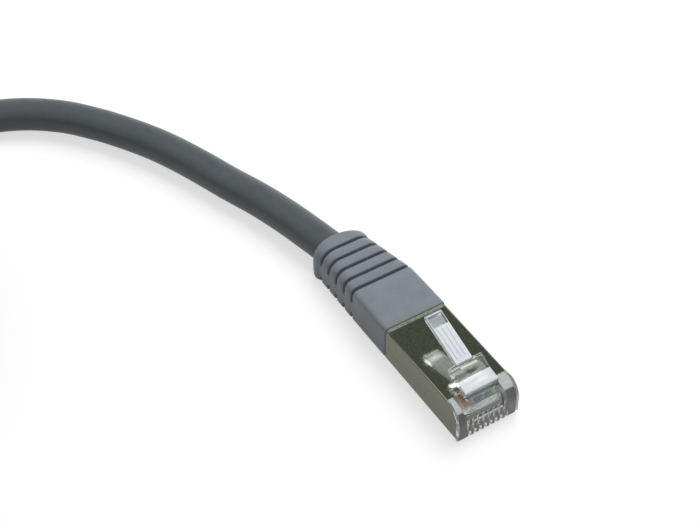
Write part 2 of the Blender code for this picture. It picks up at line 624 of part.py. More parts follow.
def wire_route(number):
    """A wire from its cut end, through the comb, to its place in the foil's mouth."""
    y = PIN_PLACES[number]
    low = number % 2 == 0
    columns = PINS // 2
    quarter = 180 * (1 - (number // 2 + 0.5) / columns)
    angle = math.radians(-quarter if low else quarter)
    end_y = BUNDLE_RING_RADIUS * math.cos(angle)
    end_z = BUNDLE_HEIGHT + BUNDLE_RING_RADIUS * math.sin(angle)
    straight = COMB_REAR + SEAT
    gather = BUNDLE_FRONT - WIRE_GATHER_END - straight
    points = [(-WIRE_NOSE_GAP, y, WIRE_HEIGHT)]
    for k in range(WIRE_GATHER_STEPS + 1):
        share = k / WIRE_GATHER_STEPS
        rise = ease(share / WIRE_RISE_SHARE)
        shift = ease((share - WIRE_SHIFT_START) / (1 - WIRE_SHIFT_START))
        back = straight + share * gather
        points.append((-back, between(y, end_y, shift), between(WIRE_HEIGHT, end_z, rise)))
    points.append((-(BUNDLE_FRONT - SEAT), end_y, end_z))
    return points


def make_wires():
    """Eight insulated wires, each notched where its contact's tines go in."""
    made = []
    for number, y in enumerate(PIN_PLACES):
        mesh = tube("wire", wire_route(number), WIRE_RADIUS, WIRE_RESOLUTION)
        wire = new_object(f"near_wire_{number + 1}", mesh)
        reach = BLADE_THICKNESS / 2 + SEAT
        shapes = [tine(middle, SEAT, 2 * SEAT) for middle in TINE_MIDDLES]
        notches = [slab("notch", shape, y - reach, y + reach) for shape in shapes]
        combine(wire, "DIFFERENCE", joined("notches", notches))
        made.append(dress(settled(wire), WIRE_COLOURS[number][0], 50))
    return made


def make_comb():
    """The bar that keeps the eight wires in a row."""
    low = (-COMB_REAR, -COMB_HALF, WIRE_HEIGHT - COMB_HEIGHT / 2)
    high = (-COMB_FRONT, COMB_HALF, WIRE_HEIGHT + COMB_HEIGHT / 2)
    comb = new_object("near_wire_comb", block("comb", low, high, COMB_EDGE))
    ends = (-COMB_FRONT + OVERSHOOT, -COMB_REAR - OVERSHOOT)
    holes = [
        tube("hole", [(x, y, WIRE_HEIGHT) for x in ends], WIRE_RADIUS + COMB_HOLE_EASE, WIRE_RESOLUTION)
        for y in PIN_PLACES
    ]
    combine(comb, "DIFFERENCE", joined("holes", holes))
    return dress(settled(comb), "comb_white")


# ---------------------------------------------------------------- boot


LAST_GROOVE_END = GROOVE_FIRST + (GROOVES - 1) * GROOVE_PITCH + GROOVE_WIDTH / 2 + GROOVE_FLARE


def cord_height(back):
    """Height of the cord's middle inside the plug and boot, a distance behind the nose."""
    share = (back - CORD_CLIMB_START) / (BOOT_REAR - CORD_CLIMB_START)
    return between(BUNDLE_HEIGHT, CORD_EXIT_HEIGHT, ease(share))


def cord_middle(back):
    """The cord's middle inside the boot, a distance behind the nose, where it bends to one side."""
    share = max(back - CORD_BEND_START, 0.0) / (BOOT_REAR - CORD_BEND_START)
    return Vector((-back, -CORD_BEND * share**2, cord_height(back)))


def cord_heading(back):
    """The cord's level heading away from the plug, a distance behind the nose."""
    length = BOOT_REAR - CORD_BEND_START
    slope = 2 * CORD_BEND * max(back - CORD_BEND_START, 0.0) / length**2
    return Vector((-1.0, -slope, 0.0)).normalized()


def core_points(first, last, steps):
    """Points along the cord's middle line inside the boot."""
    return [cord_middle(between(first, last, k / steps)) for k in range(steps + 1)]


def blend(first, last, share):
    """Every number of one tuple, a share of the way to those of another."""
    return tuple(between(start, end, share) for start, end in zip(first, last))


def boot_size(back):
    """The boot's width, underside, top, and upper and lower corner radius, behind the nose."""
    base = BOOT_BASE_CORNER
    front = (BOOT_WIDTH, 0.0, BOOT_FRONT_HEIGHT, BOOT_FRONT_CORNER, base)
    neck_height = between(BOOT_FRONT_HEIGHT, BOOT_RIB_HEIGHT, BOOT_NECK_RISE)
    neck = (BOOT_WIDTH, 0.0, neck_height, BOOT_NECK_CORNER, base)
    rib = (BOOT_RIB_WIDTH, 0.0, BOOT_RIB_HEIGHT, BOOT_RIB_CORNER, base)
    collar = (BOOT_COLLAR_WIDTH, 0.0, BOOT_COLLAR_HEIGHT, BOOT_COLLAR_CORNER, base)
    if back < BOOT_NECK:
        return blend(front, neck, (back - BOOT_FRONT) / (BOOT_NECK - BOOT_FRONT))
    if back < LAST_GROOVE_END:
        return blend(neck, rib, (back - BOOT_NECK) / (LAST_GROOVE_END - BOOT_NECK))
    return blend(rib, collar, ease((back - LAST_GROOVE_END) / BOOT_COLLAR_RISE))


def boot_side(back):
    """The boot's sideways offset, a distance behind the nose."""
    return -BOOT_SHIFT * max(back - BOOT_NECK, 0.0) / (BOOT_REAR - BOOT_NECK)


def rounded_section(width, low, high, corner, base):
    """A rectangle with round upper and lower corners, as (across, up) points."""
    half = width / 2
    limit = min(half, (high - low) / 2) * CORNER_LIMIT
    corner, base = min(corner, limit), min(base, limit)
    top, bottom = high - corner, low + base
    stops = [k / (BOOT_SIDE_POINTS + 1) for k in range(1, BOOT_SIDE_POINTS + 1)]
    points = ellipse((half - corner, top), (corner, corner), 0, 90, BOOT_CORNER_STEPS)
    points += ellipse((corner - half, top), (corner, corner), 90, 180, BOOT_CORNER_STEPS)
    points += [(-half, between(top, bottom, share)) for share in stops]
    points += ellipse((base - half, bottom), (base, base), 180, 270, BOOT_CORNER_STEPS)
    points += ellipse((half - base, bottom), (base, base), 270, 360, BOOT_CORNER_STEPS)
    points += [(half, between(bottom, top, share)) for share in stops]
    return points


def groove_floor(up):
    """How much of the groove's depth is cut at a height: all above and below, none beside."""
    upper = ease((up - GROOVE_UPPER_END) / GROOVE_FADE)
    lower = ease((GROOVE_LOWER_END - up) / GROOVE_FADE)
    return max(upper, lower)


def boot_ring(back, inset=0.0, groove=0.0):
    """One ring of the boot: drawn in all round by inset, and by groove where the grooves run."""
    width, low, high, corner, base = boot_size(back)
    side = boot_side(back)
    outer = rounded_section(width - 2 * inset, low + inset, high - inset, corner, base)
    tighter = groove * GROOVE_CORNER_SHARE
    floor_corner, floor_base = corner - tighter, max(base - tighter, GROOVE_LEAST_CORNER)
    floor = rounded_section(width - 2 * groove, low + groove, high - groove, floor_corner, floor_base)
    ring = []
    for (across, up), (deep_across, deep_up) in zip(outer, floor):
        share = groove_floor(up) if groove else 0.0
        ring.append((-back, side + between(across, deep_across, share), between(up, deep_up, share)))
    return ring


def boot_rear_rings():
    """The rings that round the collar off to a thin wall round the cord."""
    exit_place = cord_middle(BOOT_REAR)
    half = CORD_DIAMETER / 2 + BOOT_REAR_WALL
    collar = (*boot_size(BOOT_COLLAR_END), boot_side(BOOT_COLLAR_END))
    rear = (2 * half, exit_place.z - half, exit_place.z + half, half, half, exit_place.y)
    rings = []
    for k in range(BOOT_REAR_STEPS + 1):
        angle = math.radians(90 * k / BOOT_REAR_STEPS)
        back = between(BOOT_COLLAR_END, BOOT_REAR, math.sin(angle))
        width, low, high, corner, base, side = blend(collar, rear, 1 - math.cos(angle))
        section = rounded_section(width, low, high, corner, base)
        rings.append([(-back, side + across, up) for across, up in section])
    return rings


def boot_rings():
    """The boot's rings from its front face, over the grooves, to the collar's rounded rear."""
    rings = [boot_ring(BOOT_FRONT, BOOT_EDGE / 2)]
    rings.append(boot_ring(BOOT_FRONT + BOOT_EDGE / 2))
    rings.append(boot_ring(BOOT_NECK))
    floor, mouth = GROOVE_WIDTH / 2, GROOVE_WIDTH / 2 + GROOVE_FLARE
    for k in range(GROOVES):
        middle = GROOVE_FIRST + k * GROOVE_PITCH
        for offset, depth in ((-mouth, 0.0), (-floor, GROOVE_DEPTH), (floor, GROOVE_DEPTH), (mouth, 0.0)):
            rings.append(boot_ring(middle + offset, groove=depth))
    rings.append(boot_ring(LAST_GROOVE_END + BOOT_COLLAR_RISE))
    return rings + boot_rear_rings()


def loft(name, rings):
    """Skin a list of equal rings of points and close both ends."""
    shape = bmesh.new()
    rows = [[shape.verts.new(point) for point in ring] for ring in rings]
    count = len(rows[0])
    for first, second in zip(rows, rows[1:]):
        for k in range(count):
            following = (k + 1) % count
            shape.faces.new((first[k], first[following], second[following], second[k]))
    shape.faces.new(rows[0][::-1])
    shape.faces.new(rows[-1])
    return mesh_of(name, shape)


def make_boot():
    """The moulded boot: plain socket end, five grooves above and below, and a round collar."""
    boot = new_object("near_boot", loft("boot", boot_rings()))
    half = PLUG_WIDTH / 2 - SHEET
    socket_back = -(PLUG_LENGTH + 2 * SEAT)
    combine(boot, "DIFFERENCE", block(
        "socket", (socket_back, -half, SHEET), (-BOOT_FRONT + OVERSHOOT, half, PLUG_HEIGHT - SHEET)))
    room_half = BOOT_WIDTH / 2 - INNER_ROOM_WALL
    room_top = BOOT_FRONT_HEIGHT - INNER_ROOM_FLOOR
    room_low = (-INNER_ROOM_BACK, -room_half, INNER_ROOM_FLOOR)
    combine(boot, "DIFFERENCE", block("room", room_low, (socket_back + OVERSHOOT, room_half, room_top)))
    bore = core_points(INNER_ROOM_BACK - OVERSHOOT, BOOT_REAR + OVERSHOOT, CORE_STEPS)
    combine(boot, "DIFFERENCE", tube("bore", bore, CORD_DIAMETER / 2 + SEAT, CORD_RESOLUTION))
    return dress(settled(boot), "boot_grey", 35)


def make_bundle():
    """The foil-wrapped core between the plug's cavity and the jacket's cut end."""
    points = core_points(BUNDLE_FRONT, JACKET_START - END_GAP, CORE_STEPS // 2)
    mesh = tube("foil_core", points, BUNDLE_DIAMETER / 2, BUNDLE_RESOLUTION)
    return dress(new_object("near_foil_core", mesh), "foil", 50)


def make_jacket_end():
    """The jacket inside the boot."""
    points = core_points(JACKET_START, BOOT_REAR, CORE_STEPS)
    mesh = tube("jacket_end", points, CORD_DIAMETER / 2, CORD_RESOLUTION)
    return dress(new_object("near_jacket_end", mesh), "jacket_grey", 50)


# ---------------------------------------------------------------- cord


def length_along(places):
    """Distance along a row of points, at each of them."""
    return np.concatenate([[0.0], np.cumsum(np.linalg.norm(np.diff(places, axis=0), axis=1))])


def smooth_route(points, spacing):
    """Evenly spaced points on one smooth curve through the route's own points."""
    places = np.array([tuple(point) for point in points], float)
    before_first, after_last = 2 * places[0] - places[1], 2 * places[-1] - places[-2]
    padded = np.vstack([before_first, places, after_last])
    dense = []
    for before, start, end, after in zip(padded, padded[1:], padded[2:], padded[3:]):
        for t in np.linspace(0, 1, ROUTE_SUBSTEPS, endpoint=False):
            steady = 2 * start + (end - before) * t
            bend = (2 * before - 5 * start + 4 * end - after) * t**2
            turn = (3 * start - before - 3 * end + after) * t**3
            dense.append((steady + bend + turn) / 2)
    dense = np.array([*dense, places[-1]])
    along = length_along(dense)
    stations = np.linspace(0, along[-1], max(round(along[-1] / spacing), 2) + 1)
    columns = [np.interp(stations, along, dense[:, axis]) for axis in range(3)]
    return [Vector(place) for place in zip(*columns)]


def coil_points():
    """One unbroken run: in along the lower layer, up while the spiral turns back, and out above."""
    half_turns = COIL_TURNS / 2
    outer = COIL_MIDDLE_RADIUS + COIL_STEP * half_turns / 2
    centre = Vector((*COIL_CENTRE, CORD_DIAMETER / 2))
    points = []
    steps = round(COIL_TURNS * COIL_LOOP_POINTS)
    for k in range(steps + 1):
        turn = COIL_TURNS * k / steps
        radius = outer - COIL_STEP * min(turn, COIL_TURNS - turn)
        angle = math.pi + 2 * math.pi * turn
        climb = ease((turn - half_turns) / CLIMB_TURNS + 0.5)
        outward = Vector((math.cos(angle), math.sin(angle), 0.0))
        points.append(centre + radius * outward + Vector((0.0, 0.0, COIL_STEP * climb)))
    points.insert(0, points[0] + Vector((0.0, CORD_DIAMETER, 0.0)))
    end = math.pi + 2 * math.pi * COIL_TURNS
    points.append(points[-1] + CORD_DIAMETER * Vector((-math.sin(end), math.cos(end), 0.0)))
    return points


def boot_end(frame):
    """The cord's place and outward heading at a boot's rear end."""
    return frame @ cord_middle(BOOT_REAR), (frame.to_3x3() @ cord_heading(BOOT_REAR)).normalized()


def least_gap(points):
    """Least distance between the skins of stretches of cord that pass each other."""
    fine = np.array([tuple(point) for point in smooth_route(points, CORD_DIAMETER / 3)])
    along = length_along(fine)
    gaps = []
    for place, distance in zip(fine, along):
        others = fine[np.abs(along - distance) > 3 * CORD_DIAMETER]
        gaps.append(float(np.linalg.norm(others - place, axis=1).min()))
    return min(gaps) - CORD_DIAMETER


def make_cord(near_frame, far_frame):
    """The free cord in three pieces: lead, coil and tail."""
    coil = coil_points()
    start, heading = boot_end(near_frame)
    out = (coil[0] - coil[1]).normalized()
    join = coil[0] + out * END_GAP
    lead = [start + heading * END_GAP, start + heading * CORD_DIAMETER * STRAIGHT_END]
    lead += [Vector(place) * MM for place in LEAD_ROUTE]
    lead += [join + out * CORD_DIAMETER * STRAIGHT_END, join]
    finish_place, finish_heading = boot_end(far_frame)
    onward = (coil[-1] - coil[-2]).normalized()
    leave = coil[-1] + onward * END_GAP
    last = finish_place + finish_heading * END_GAP
    tail = [leave, leave + onward * CORD_DIAMETER * STRAIGHT_END / 4]
    tail += [Vector(place) * MM for place in TAIL_ROUTE]
    tail += [last + finish_heading * CORD_DIAMETER * STRAIGHT_END, last]
    pieces = (
        ("cord_lead", smooth_route(lead, LEAD_SPACING), CORD_RESOLUTION),
        ("cord_coil", coil, COIL_RESOLUTION),
        ("cord_tail", smooth_route(tail, TAIL_SPACING), CORD_RESOLUTION),
    )
    whole = []
    for name, points, resolution in pieces:
        dress(new_object(name, tube(name, points, CORD_DIAMETER / 2, resolution)), "jacket_grey", 60)
        whole += points
    length = length_along(np.array([tuple(point) for point in whole]))[-1]
    print(f"cord between the boots: {length / MM:.0f} mm")
    print(f"least gap of the coil to itself: {least_gap(coil) / MM:.2f} mm")
    print(f"least gap along the whole cord: {least_gap(whole) / MM:.2f} mm")


# ---------------------------------------------------------------- assembly


def make_plug():
    """All the pieces of the near plug, each parented to the plug's frame."""
    frame = bpy.data.objects.new("near_plug_frame", None)
    PARTS.objects.link(frame)
    latch, hinge = make_latch()
    hinge.parent = frame
    pieces = [make_housing(), make_shield(), make_comb(), make_boot(), make_bundle(), make_jacket_end()]
    pieces += make_contacts() + make_wires()
    for piece in pieces:
        piece.parent = frame
    return frame, hinge, latch, pieces


def copy_plug(hinge, latch, pieces):
    """The far plug: the same pieces under a frame and a hinge of its own."""
    frame = bpy.data.objects.new("far_plug_frame", None)
    PARTS.objects.link(frame)
    frame.location = (*FAR_PLUG_PLACE, 0.0)
    far_hinge = bpy.data.objects.new("far_latch_hinge", None)
    PARTS.objects.link(far_hinge)
    far_hinge.location = hinge.location
    far_hinge.parent = frame
    for piece in [latch, *pieces]:
        twin = new_object(piece.name.replace("near_", "far_", 1), piece.data)
        twin.parent = far_hinge if piece is latch else frame
    return frame


def main():
    """Build the plug, its twin and the cord between them."""
    frame, hinge, latch, pieces = make_plug()
    far_frame = copy_plug(hinge, latch, pieces)
    bpy.context.view_layer.update()
    make_cord(frame.matrix_world.copy(), far_frame.matrix_world.copy())


main()
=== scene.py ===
"""Looks of a shielded eight-wire patch cable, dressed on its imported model.

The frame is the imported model's: metres, +X towards the near plug's nose, +Z up, and the surface
that the cable rests on at z = 0. Each end of the cable is one plug assembly. The cord between the
ends is one long curve, wound in a coil beside the near plug.
"""

import logging
import math
from dataclasses import dataclass, field
from enum import Enum
from typing import Sequence

import bmesh
import bpy
import numpy as np
from mathutils import Matrix, Vector

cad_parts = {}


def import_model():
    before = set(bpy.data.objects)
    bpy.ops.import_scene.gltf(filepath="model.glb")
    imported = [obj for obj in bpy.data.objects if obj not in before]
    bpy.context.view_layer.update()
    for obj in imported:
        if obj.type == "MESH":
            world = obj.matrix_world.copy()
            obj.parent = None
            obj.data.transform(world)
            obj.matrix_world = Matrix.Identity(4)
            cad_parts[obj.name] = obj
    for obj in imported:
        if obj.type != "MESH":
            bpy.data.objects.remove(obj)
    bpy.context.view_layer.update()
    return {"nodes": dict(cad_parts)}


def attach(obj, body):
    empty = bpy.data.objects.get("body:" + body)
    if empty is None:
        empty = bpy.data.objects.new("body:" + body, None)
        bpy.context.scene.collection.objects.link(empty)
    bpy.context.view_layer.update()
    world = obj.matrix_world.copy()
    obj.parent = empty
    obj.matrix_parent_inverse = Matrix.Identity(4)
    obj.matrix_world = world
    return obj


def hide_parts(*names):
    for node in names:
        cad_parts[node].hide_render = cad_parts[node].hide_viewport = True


LOG = logging.getLogger("patch_cable")

MM = 0.001
BODY = "cable"

Colour = tuple[float, float, float]
Point = tuple[float, float, float]
Section = list[tuple[float, float]]
Socket = bpy.types.NodeSocket

UP = Vector((0.0, 0.0, 1.0))


class End(Enum):
    """The cable's two ends: the prefix of their nodes and their sideways place in mm."""

    NEAR = ("near_", 0.0)
    FAR = ("far_", -124.5)

    @property
    def prefix(self) -> str:
        """Start of the names of this end's nodes."""
        return self.value[0]

    @property
    def offset(self) -> Vector:
        """Place of this end's frame, in metres."""
        return Vector((0.0, self.value[1] * MM, 0.0))


class Rays(Enum):
    """Kinds of ray that see the white surroundings as they are drawn."""

    CAMERA = "Is Camera Ray"
    GLOSSY = "Is Glossy Ray"
    TRANSMISSION = "Is Transmission Ray"


# ---------------------------------------------------------------- numbers and shapes


def ease(value: float) -> float:
    """Ease from 0 to 1.

    Args:
        value: how far along, held between 0 and 1.

    Returns:
        The eased share.
    """
    value = min(max(value, 0.0), 1.0)
    return value * value * (3 - 2 * value)


def between(first: float, last: float, share: float) -> float:
    """The number a share of the way from first to last."""
    return first + (last - first) * share


def arc(centre: tuple[float, float], radius: float, start: float, end: float, steps: int) -> Section:
    """Points of a circular arc.

    Args:
        centre: the arc's middle.
        radius: its radius.
        start: first angle in degrees.
        end: last angle in degrees.
        steps: number of equal steps.

    Returns:
        The points, both ends included.
    """
    angles = [math.radians(between(start, end, k / steps)) for k in range(steps + 1)]
    return [(centre[0] + radius * math.cos(a), centre[1] + radius * math.sin(a)) for a in angles]


def upright_ring(middle: Vector, radius: float, sides: int, across: Vector) -> list[Vector]:
    """Points of an upright circle.

    Args:
        middle: its middle, in mm.
        radius: its radius, in mm.
        sides: number of points.
        across: the level direction that it lies along.

    Returns:
        The points, in metres.
    """
    turns = [math.tau * k / sides for k in range(sides)]
    return [(middle + radius * (across * math.cos(a) + UP * math.sin(a))) * MM for a in turns]


def smooth_route(points: Sequence[Vector], spacing: float) -> list[Vector]:
    """Evenly spaced points on one smooth curve through all the given points.

    Args:
        points: the route's own points.
        spacing: wanted distance between the new points.

    Returns:
        The new points, from the first to the last given one.
    """
    substeps = 16
    places = np.array([tuple(point) for point in points], float)
    padded = np.vstack([2 * places[0] - places[1], places, 2 * places[-1] - places[-2]])
    dense = []
    for before, start, end, after in zip(padded, padded[1:], padded[2:], padded[3:]):
        for t in np.linspace(0, 1, substeps, endpoint=False):
            steady = 2 * start + (end - before) * t
            bend = (2 * before - 5 * start + 4 * end - after) * t**2
            turn = (3 * start - before - 3 * end + after) * t**3
            dense.append((steady + bend + turn) / 2)
    line = np.array([*dense, places[-1]])
    along = np.concatenate([[0.0], np.cumsum(np.linalg.norm(np.diff(line, axis=0), axis=1))])
    stations = np.linspace(0, along[-1], round(along[-1] / spacing) + 1)
    columns = [np.interp(stations, along, line[:, axis]) for axis in range(3)]
    return [Vector(place) for place in zip(*columns)]


# ---------------------------------------------------------------- modelling bench


class Bench:
    """The operators used on every piece, each called with only its own piece selected."""

    SEAM = 0.001 * MM

    @staticmethod
    def clear_selection() -> None:
        """Deselect every object."""
        for item in bpy.context.selected_objects:
            item.select_set(False)

    @classmethod
    def take(cls, item: bpy.types.Object) -> bpy.types.Object:
        """Select one object alone and make it active.

        Args:
            item: the object.

        Returns:
            The same object.
        """
        cls.clear_selection()
        item.select_set(True)
        bpy.context.view_layer.objects.active = item
        return item

    @classmethod
    def name_active(cls, name: str) -> bpy.types.Object:
        """Name what a primitive operator has just made.

        Args:
            name: the name of the object and of its mesh.

        Returns:
            The object, selected alone.
        """
        item = bpy.context.active_object
        item.name = name
        item.data.name = name
        return cls.take(item)

    @staticmethod
    def edit(item: bpy.types.Object) -> bmesh.types.BMesh:
        """Go into edit mode on the active object, to select corners.

        Args:
            item: the active object.

        Returns:
            The mesh being edited.
        """
        bpy.ops.object.mode_set(mode="EDIT")
        bpy.ops.mesh.select_mode(type="VERT")
        return bmesh.from_edit_mesh(item.data)

    @staticmethod
    def leave_edit() -> None:
        """Back to object mode."""
        bpy.ops.object.mode_set(mode="OBJECT")

    @classmethod
    def apply_all(cls, item: bpy.types.Object) -> None:
        """Apply an object's modifiers in order.

        Args:
            item: the object.
        """
        cls.take(item)
        for step in list(item.modifiers):
            bpy.ops.object.modifier_apply(modifier=step.name)

    @classmethod
    def slab(cls, name: str, outline: Section, low: float, high: float) -> bpy.types.Object:
        """Model a slab: a filled circle is bent to an outline and extruded across.

        Args:
            name: the slab's name.
            outline: its corners in mm, as (forward, up).
            low: its first side, in mm across.
            high: its other side.

        Returns:
            The slab.
        """
        cls.clear_selection()
        bpy.ops.mesh.primitive_circle_add(vertices=len(outline), radius=1.0, fill_type="NGON")
        slab = cls.name_active(name)
        shape = cls.edit(slab)
        for vertex, (forward, up) in zip(shape.verts, outline):
            vertex.co = Vector((forward, low, up)) * MM
        bpy.ops.mesh.select_all(action="SELECT")
        bpy.ops.mesh.extrude_region_move(TRANSFORM_OT_translate={"value": (0.0, (high - low) * MM, 0.0)})
        bpy.ops.mesh.select_all(action="SELECT")
        bpy.ops.mesh.normals_make_consistent(inside=False)
        cls.leave_edit()
        return slab

    @classmethod
    def skin(cls, name: str, rings: Sequence[Sequence[Vector]], capped: bool) -> bpy.types.Object:
        """Model a tube: a circle is bent to the first ring and extruded from ring to ring.

        Args:
            name: the tube's name.
            rings: its rings of points, in metres, all with as many points.
            capped: whether its ends are closed.

        Returns:
            The tube.
        """
        cls.clear_selection()
        fill = "NGON" if capped else "NOTHING"
        bpy.ops.mesh.primitive_circle_add(vertices=len(rings[0]), radius=1.0, fill_type=fill)
        tube = cls.name_active(name)
        shape = cls.edit(tube)
        bpy.ops.mesh.select_all(action="SELECT")
        order = list(shape.verts)
        for vertex, place in zip(order, rings[0]):
            vertex.co = place
        for ring in rings[1:]:
            found = {tuple(vertex.co): k for k, vertex in enumerate(order)}
            bpy.ops.mesh.extrude_region_move()
            shape = bmesh.from_edit_mesh(tube.data)
            fresh = [vertex for vertex in shape.verts if vertex.select]
            order = sorted(fresh, key=lambda vertex: found[tuple(vertex.co)])
            for vertex, place in zip(order, ring):
                vertex.co = place
        bmesh.update_edit_mesh(tube.data)
        bpy.ops.mesh.select_all(action="SELECT")
        bpy.ops.mesh.remove_doubles(threshold=cls.SEAM)
        bpy.ops.mesh.normals_make_consistent(inside=False)
        cls.leave_edit()
        return tube

    @classmethod
    def combine(cls, target: bpy.types.Object, operation: str, other: bpy.types.Object) -> None:
        """Cut a piece out of another, or join the two, and remove it.

        Args:
            target: the piece that stays.
            operation: DIFFERENCE to cut, UNION to join.
            other: the piece that goes.
        """
        step = target.modifiers.new("combine", "BOOLEAN")
        step.operation = operation
        step.object = other
        cls.apply_all(target)
        bpy.data.objects.remove(other)

    @classmethod
    def shade(cls, item: bpy.types.Object, angle: float) -> None:
        """Shade smooth where faces meet at less than an angle in degrees."""
        cls.take(item)
        bpy.ops.object.shade_smooth_by_angle(angle=math.radians(angle))

    @classmethod
    def twin(cls, item: bpy.types.Object, name: str, move: Vector) -> bpy.types.Object:
        """Copy a finished piece with a mesh of its own.

        Args:
            item: the finished piece.
            name: the copy's name.
            move: where the copy goes.

        Returns:
            The copy, its place in its mesh.
        """
        copy = item.copy()
        copy.data = item.data.copy()
        copy.name = copy.data.name = name
        bpy.context.scene.collection.objects.link(copy)
        cls.take(copy)
        bpy.ops.transform.translate(value=move)
        bpy.ops.object.transform_apply(location=True, rotation=True, scale=True)
        return copy


def dress(item: bpy.types.Object, material: bpy.types.Material) -> None:
    """Give a piece one material."""
    item.data.materials.clear()
    item.data.materials.append(material)


# ---------------------------------------------------------------- shared surface effects


class NodeSheet:
    """A node tree with short ways to add and join nodes."""

    FIRST_COLOUR, SECOND_COLOUR, MIXED_COLOUR = 6, 7, 2  # colour sockets of a Mix node

    def __init__(self, tree: bpy.types.NodeTree) -> None:
        """Work on a tree."""
        self.tree = tree

    def add(self, kind: str, **settings: object) -> bpy.types.Node:
        """Add a node.

        Args:
            kind: the node's type name.
            settings: its properties; a name with a capital is an input socket's value, with an
                underscore for each space.

        Returns:
            The node.
        """
        node = self.tree.nodes.new(kind)
        for name, value in settings.items():
            if name[0].isupper():
                node.inputs[name.replace("_", " ")].default_value = value
            else:
                setattr(node, name, value)
        return node

    def join(self, source: Socket, target: Socket) -> None:
        """Link an output to an input."""
        self.tree.links.new(source, target)


class Effect(Enum):
    """Node groups shared by several materials."""

    MOULDED_SKIN = "moulded_skin"
    HANDLED = "handled"


class EffectSheet(NodeSheet):
    """A new node group, with its sockets and its Object coordinates at hand."""

    def __init__(self, effect: Effect, inputs: dict[str, str], outputs: dict[str, str]) -> None:
        """Start a group.

        Args:
            effect: the effect that the group holds.
            inputs: the names of its inputs, each with Color or Float.
            outputs: its outputs, likewise.
        """
        super().__init__(bpy.data.node_groups.new(effect.value, "ShaderNodeTree"))
        for direction, sockets in (("INPUT", inputs), ("OUTPUT", outputs)):
            for name, kind in sockets.items():
                self.tree.interface.new_socket(name=name, in_out=direction, socket_type="NodeSocket" + kind)
        self.entry = self.add("NodeGroupInput").outputs
        self.leave = self.add("NodeGroupOutput").inputs
        self.place = self.add("ShaderNodeTexCoord").outputs["Object"]

    def noise(self, size: str, place: Socket, **settings: float) -> Socket:
        """Add a noise texture.

        Args:
            size: the group's input that gives the size of its grains, in metres.
            place: the coordinates that it reads.
            settings: values of the texture's other sockets.

        Returns:
            The texture's value.
        """
        scale = self.add("ShaderNodeMath", operation="DIVIDE")
        scale.inputs[0].default_value = 1.0
        self.join(self.entry[size], scale.inputs[1])
        texture = self.add("ShaderNodeTexNoise", **settings)
        self.join(place, texture.inputs["Vector"])
        self.join(scale.outputs[0], texture.inputs["Scale"])
        return texture.outputs["Fac"]


def moulded_skin_group() -> None:
    """Build the fine pebbled grain of a soft moulding, with a slow drift of tone."""
    sheet = EffectSheet(
        Effect.MOULDED_SKIN,
        {"Dark": "Color", "Light": "Color", "Grain Size": "Float", "Drift Size": "Float"},
        {"Colour": "Color", "Height": "Float"})
    drift = sheet.noise("Drift Size", sheet.place, Detail=3.0, Roughness=0.6)
    pebbles = sheet.noise("Grain Size", sheet.place, Detail=2.0, Roughness=0.55)
    spread = sheet.add("ShaderNodeMapRange", From_Min=0.3, From_Max=0.7)
    sheet.join(drift, spread.inputs["Value"])
    tone = sheet.add("ShaderNodeMix", data_type="RGBA")
    sheet.join(spread.outputs["Result"], tone.inputs["Factor"])
    sheet.join(sheet.entry["Dark"], tone.inputs[sheet.FIRST_COLOUR])
    sheet.join(sheet.entry["Light"], tone.inputs[sheet.SECOND_COLOUR])
    sheet.join(tone.outputs[sheet.MIXED_COLOUR], sheet.leave["Colour"])
    sheet.join(pebbles, sheet.leave["Height"])


def handled_group() -> None:
    """Build the faint smears and hairlines of a hard glossy surface that has been handled."""
    sheet = EffectSheet(
        Effect.HANDLED, {"Smooth": "Float", "Rough": "Float", "Size": "Float"},
        {"Roughness": "Float", "Height": "Float"})
    smears = sheet.noise("Size", sheet.place, Detail=4.0, Roughness=0.65, Distortion=0.4)
    lengthways = sheet.add("ShaderNodeMapping", Scale=(1.0, 6.0, 6.0))
    sheet.join(sheet.place, lengthways.inputs["Vector"])
    hairlines = sheet.noise("Size", lengthways.outputs["Vector"], Detail=2.0)
    blend = sheet.add("ShaderNodeMapRange", From_Min=0.35, From_Max=0.7)
    sheet.join(smears, blend.inputs["Value"])
    sheet.join(sheet.entry["Smooth"], blend.inputs["To Min"])
    sheet.join(sheet.entry["Rough"], blend.inputs["To Max"])
    sheet.join(blend.outputs["Result"], sheet.leave["Roughness"])
    sheet.join(hairlines, sheet.leave["Height"])


# ---------------------------------------------------------------- finishes


class Surface:
    """A new material with its Principled shader at hand."""

    def __init__(self, name: str) -> None:
        """Start a material.

        Args:
            name: the material's name.
        """
        self.material = bpy.data.materials.new(name)
        self.material.use_nodes = True
        self.sheet = NodeSheet(self.material.node_tree)
        self.shader = self.material.node_tree.nodes["Principled BSDF"]

    def set(self, **values: object) -> None:
        """Set values on the shader's own sockets; an underscore stands for a space."""
        for name, value in values.items():
            self.shader.inputs[name.replace("_", " ")].default_value = value

    def effect(self, which: Effect, **values: object) -> bpy.types.Node:
        """Place a shared group with this material's own values."""
        return self.sheet.add("ShaderNodeGroup", node_tree=bpy.data.node_groups[which.value], **values)

    def feed(self, source: Socket, target: str) -> None:
        """Link an output to one of the shader's sockets."""
        self.sheet.join(source, self.shader.inputs[target])

    def raise_by(self, source: Socket, distance: float, strength: float) -> None:
        """Bump the surface by a height between 0 and 1.

        Args:
            source: the height.
            distance: metres that a height of 1 stands for.
            strength: strength of the bump.
        """
        bump = self.sheet.add("ShaderNodeBump", Distance=distance, Strength=strength)
        self.sheet.join(source, bump.inputs["Height"])
        self.feed(bump.outputs["Normal"], "Normal")


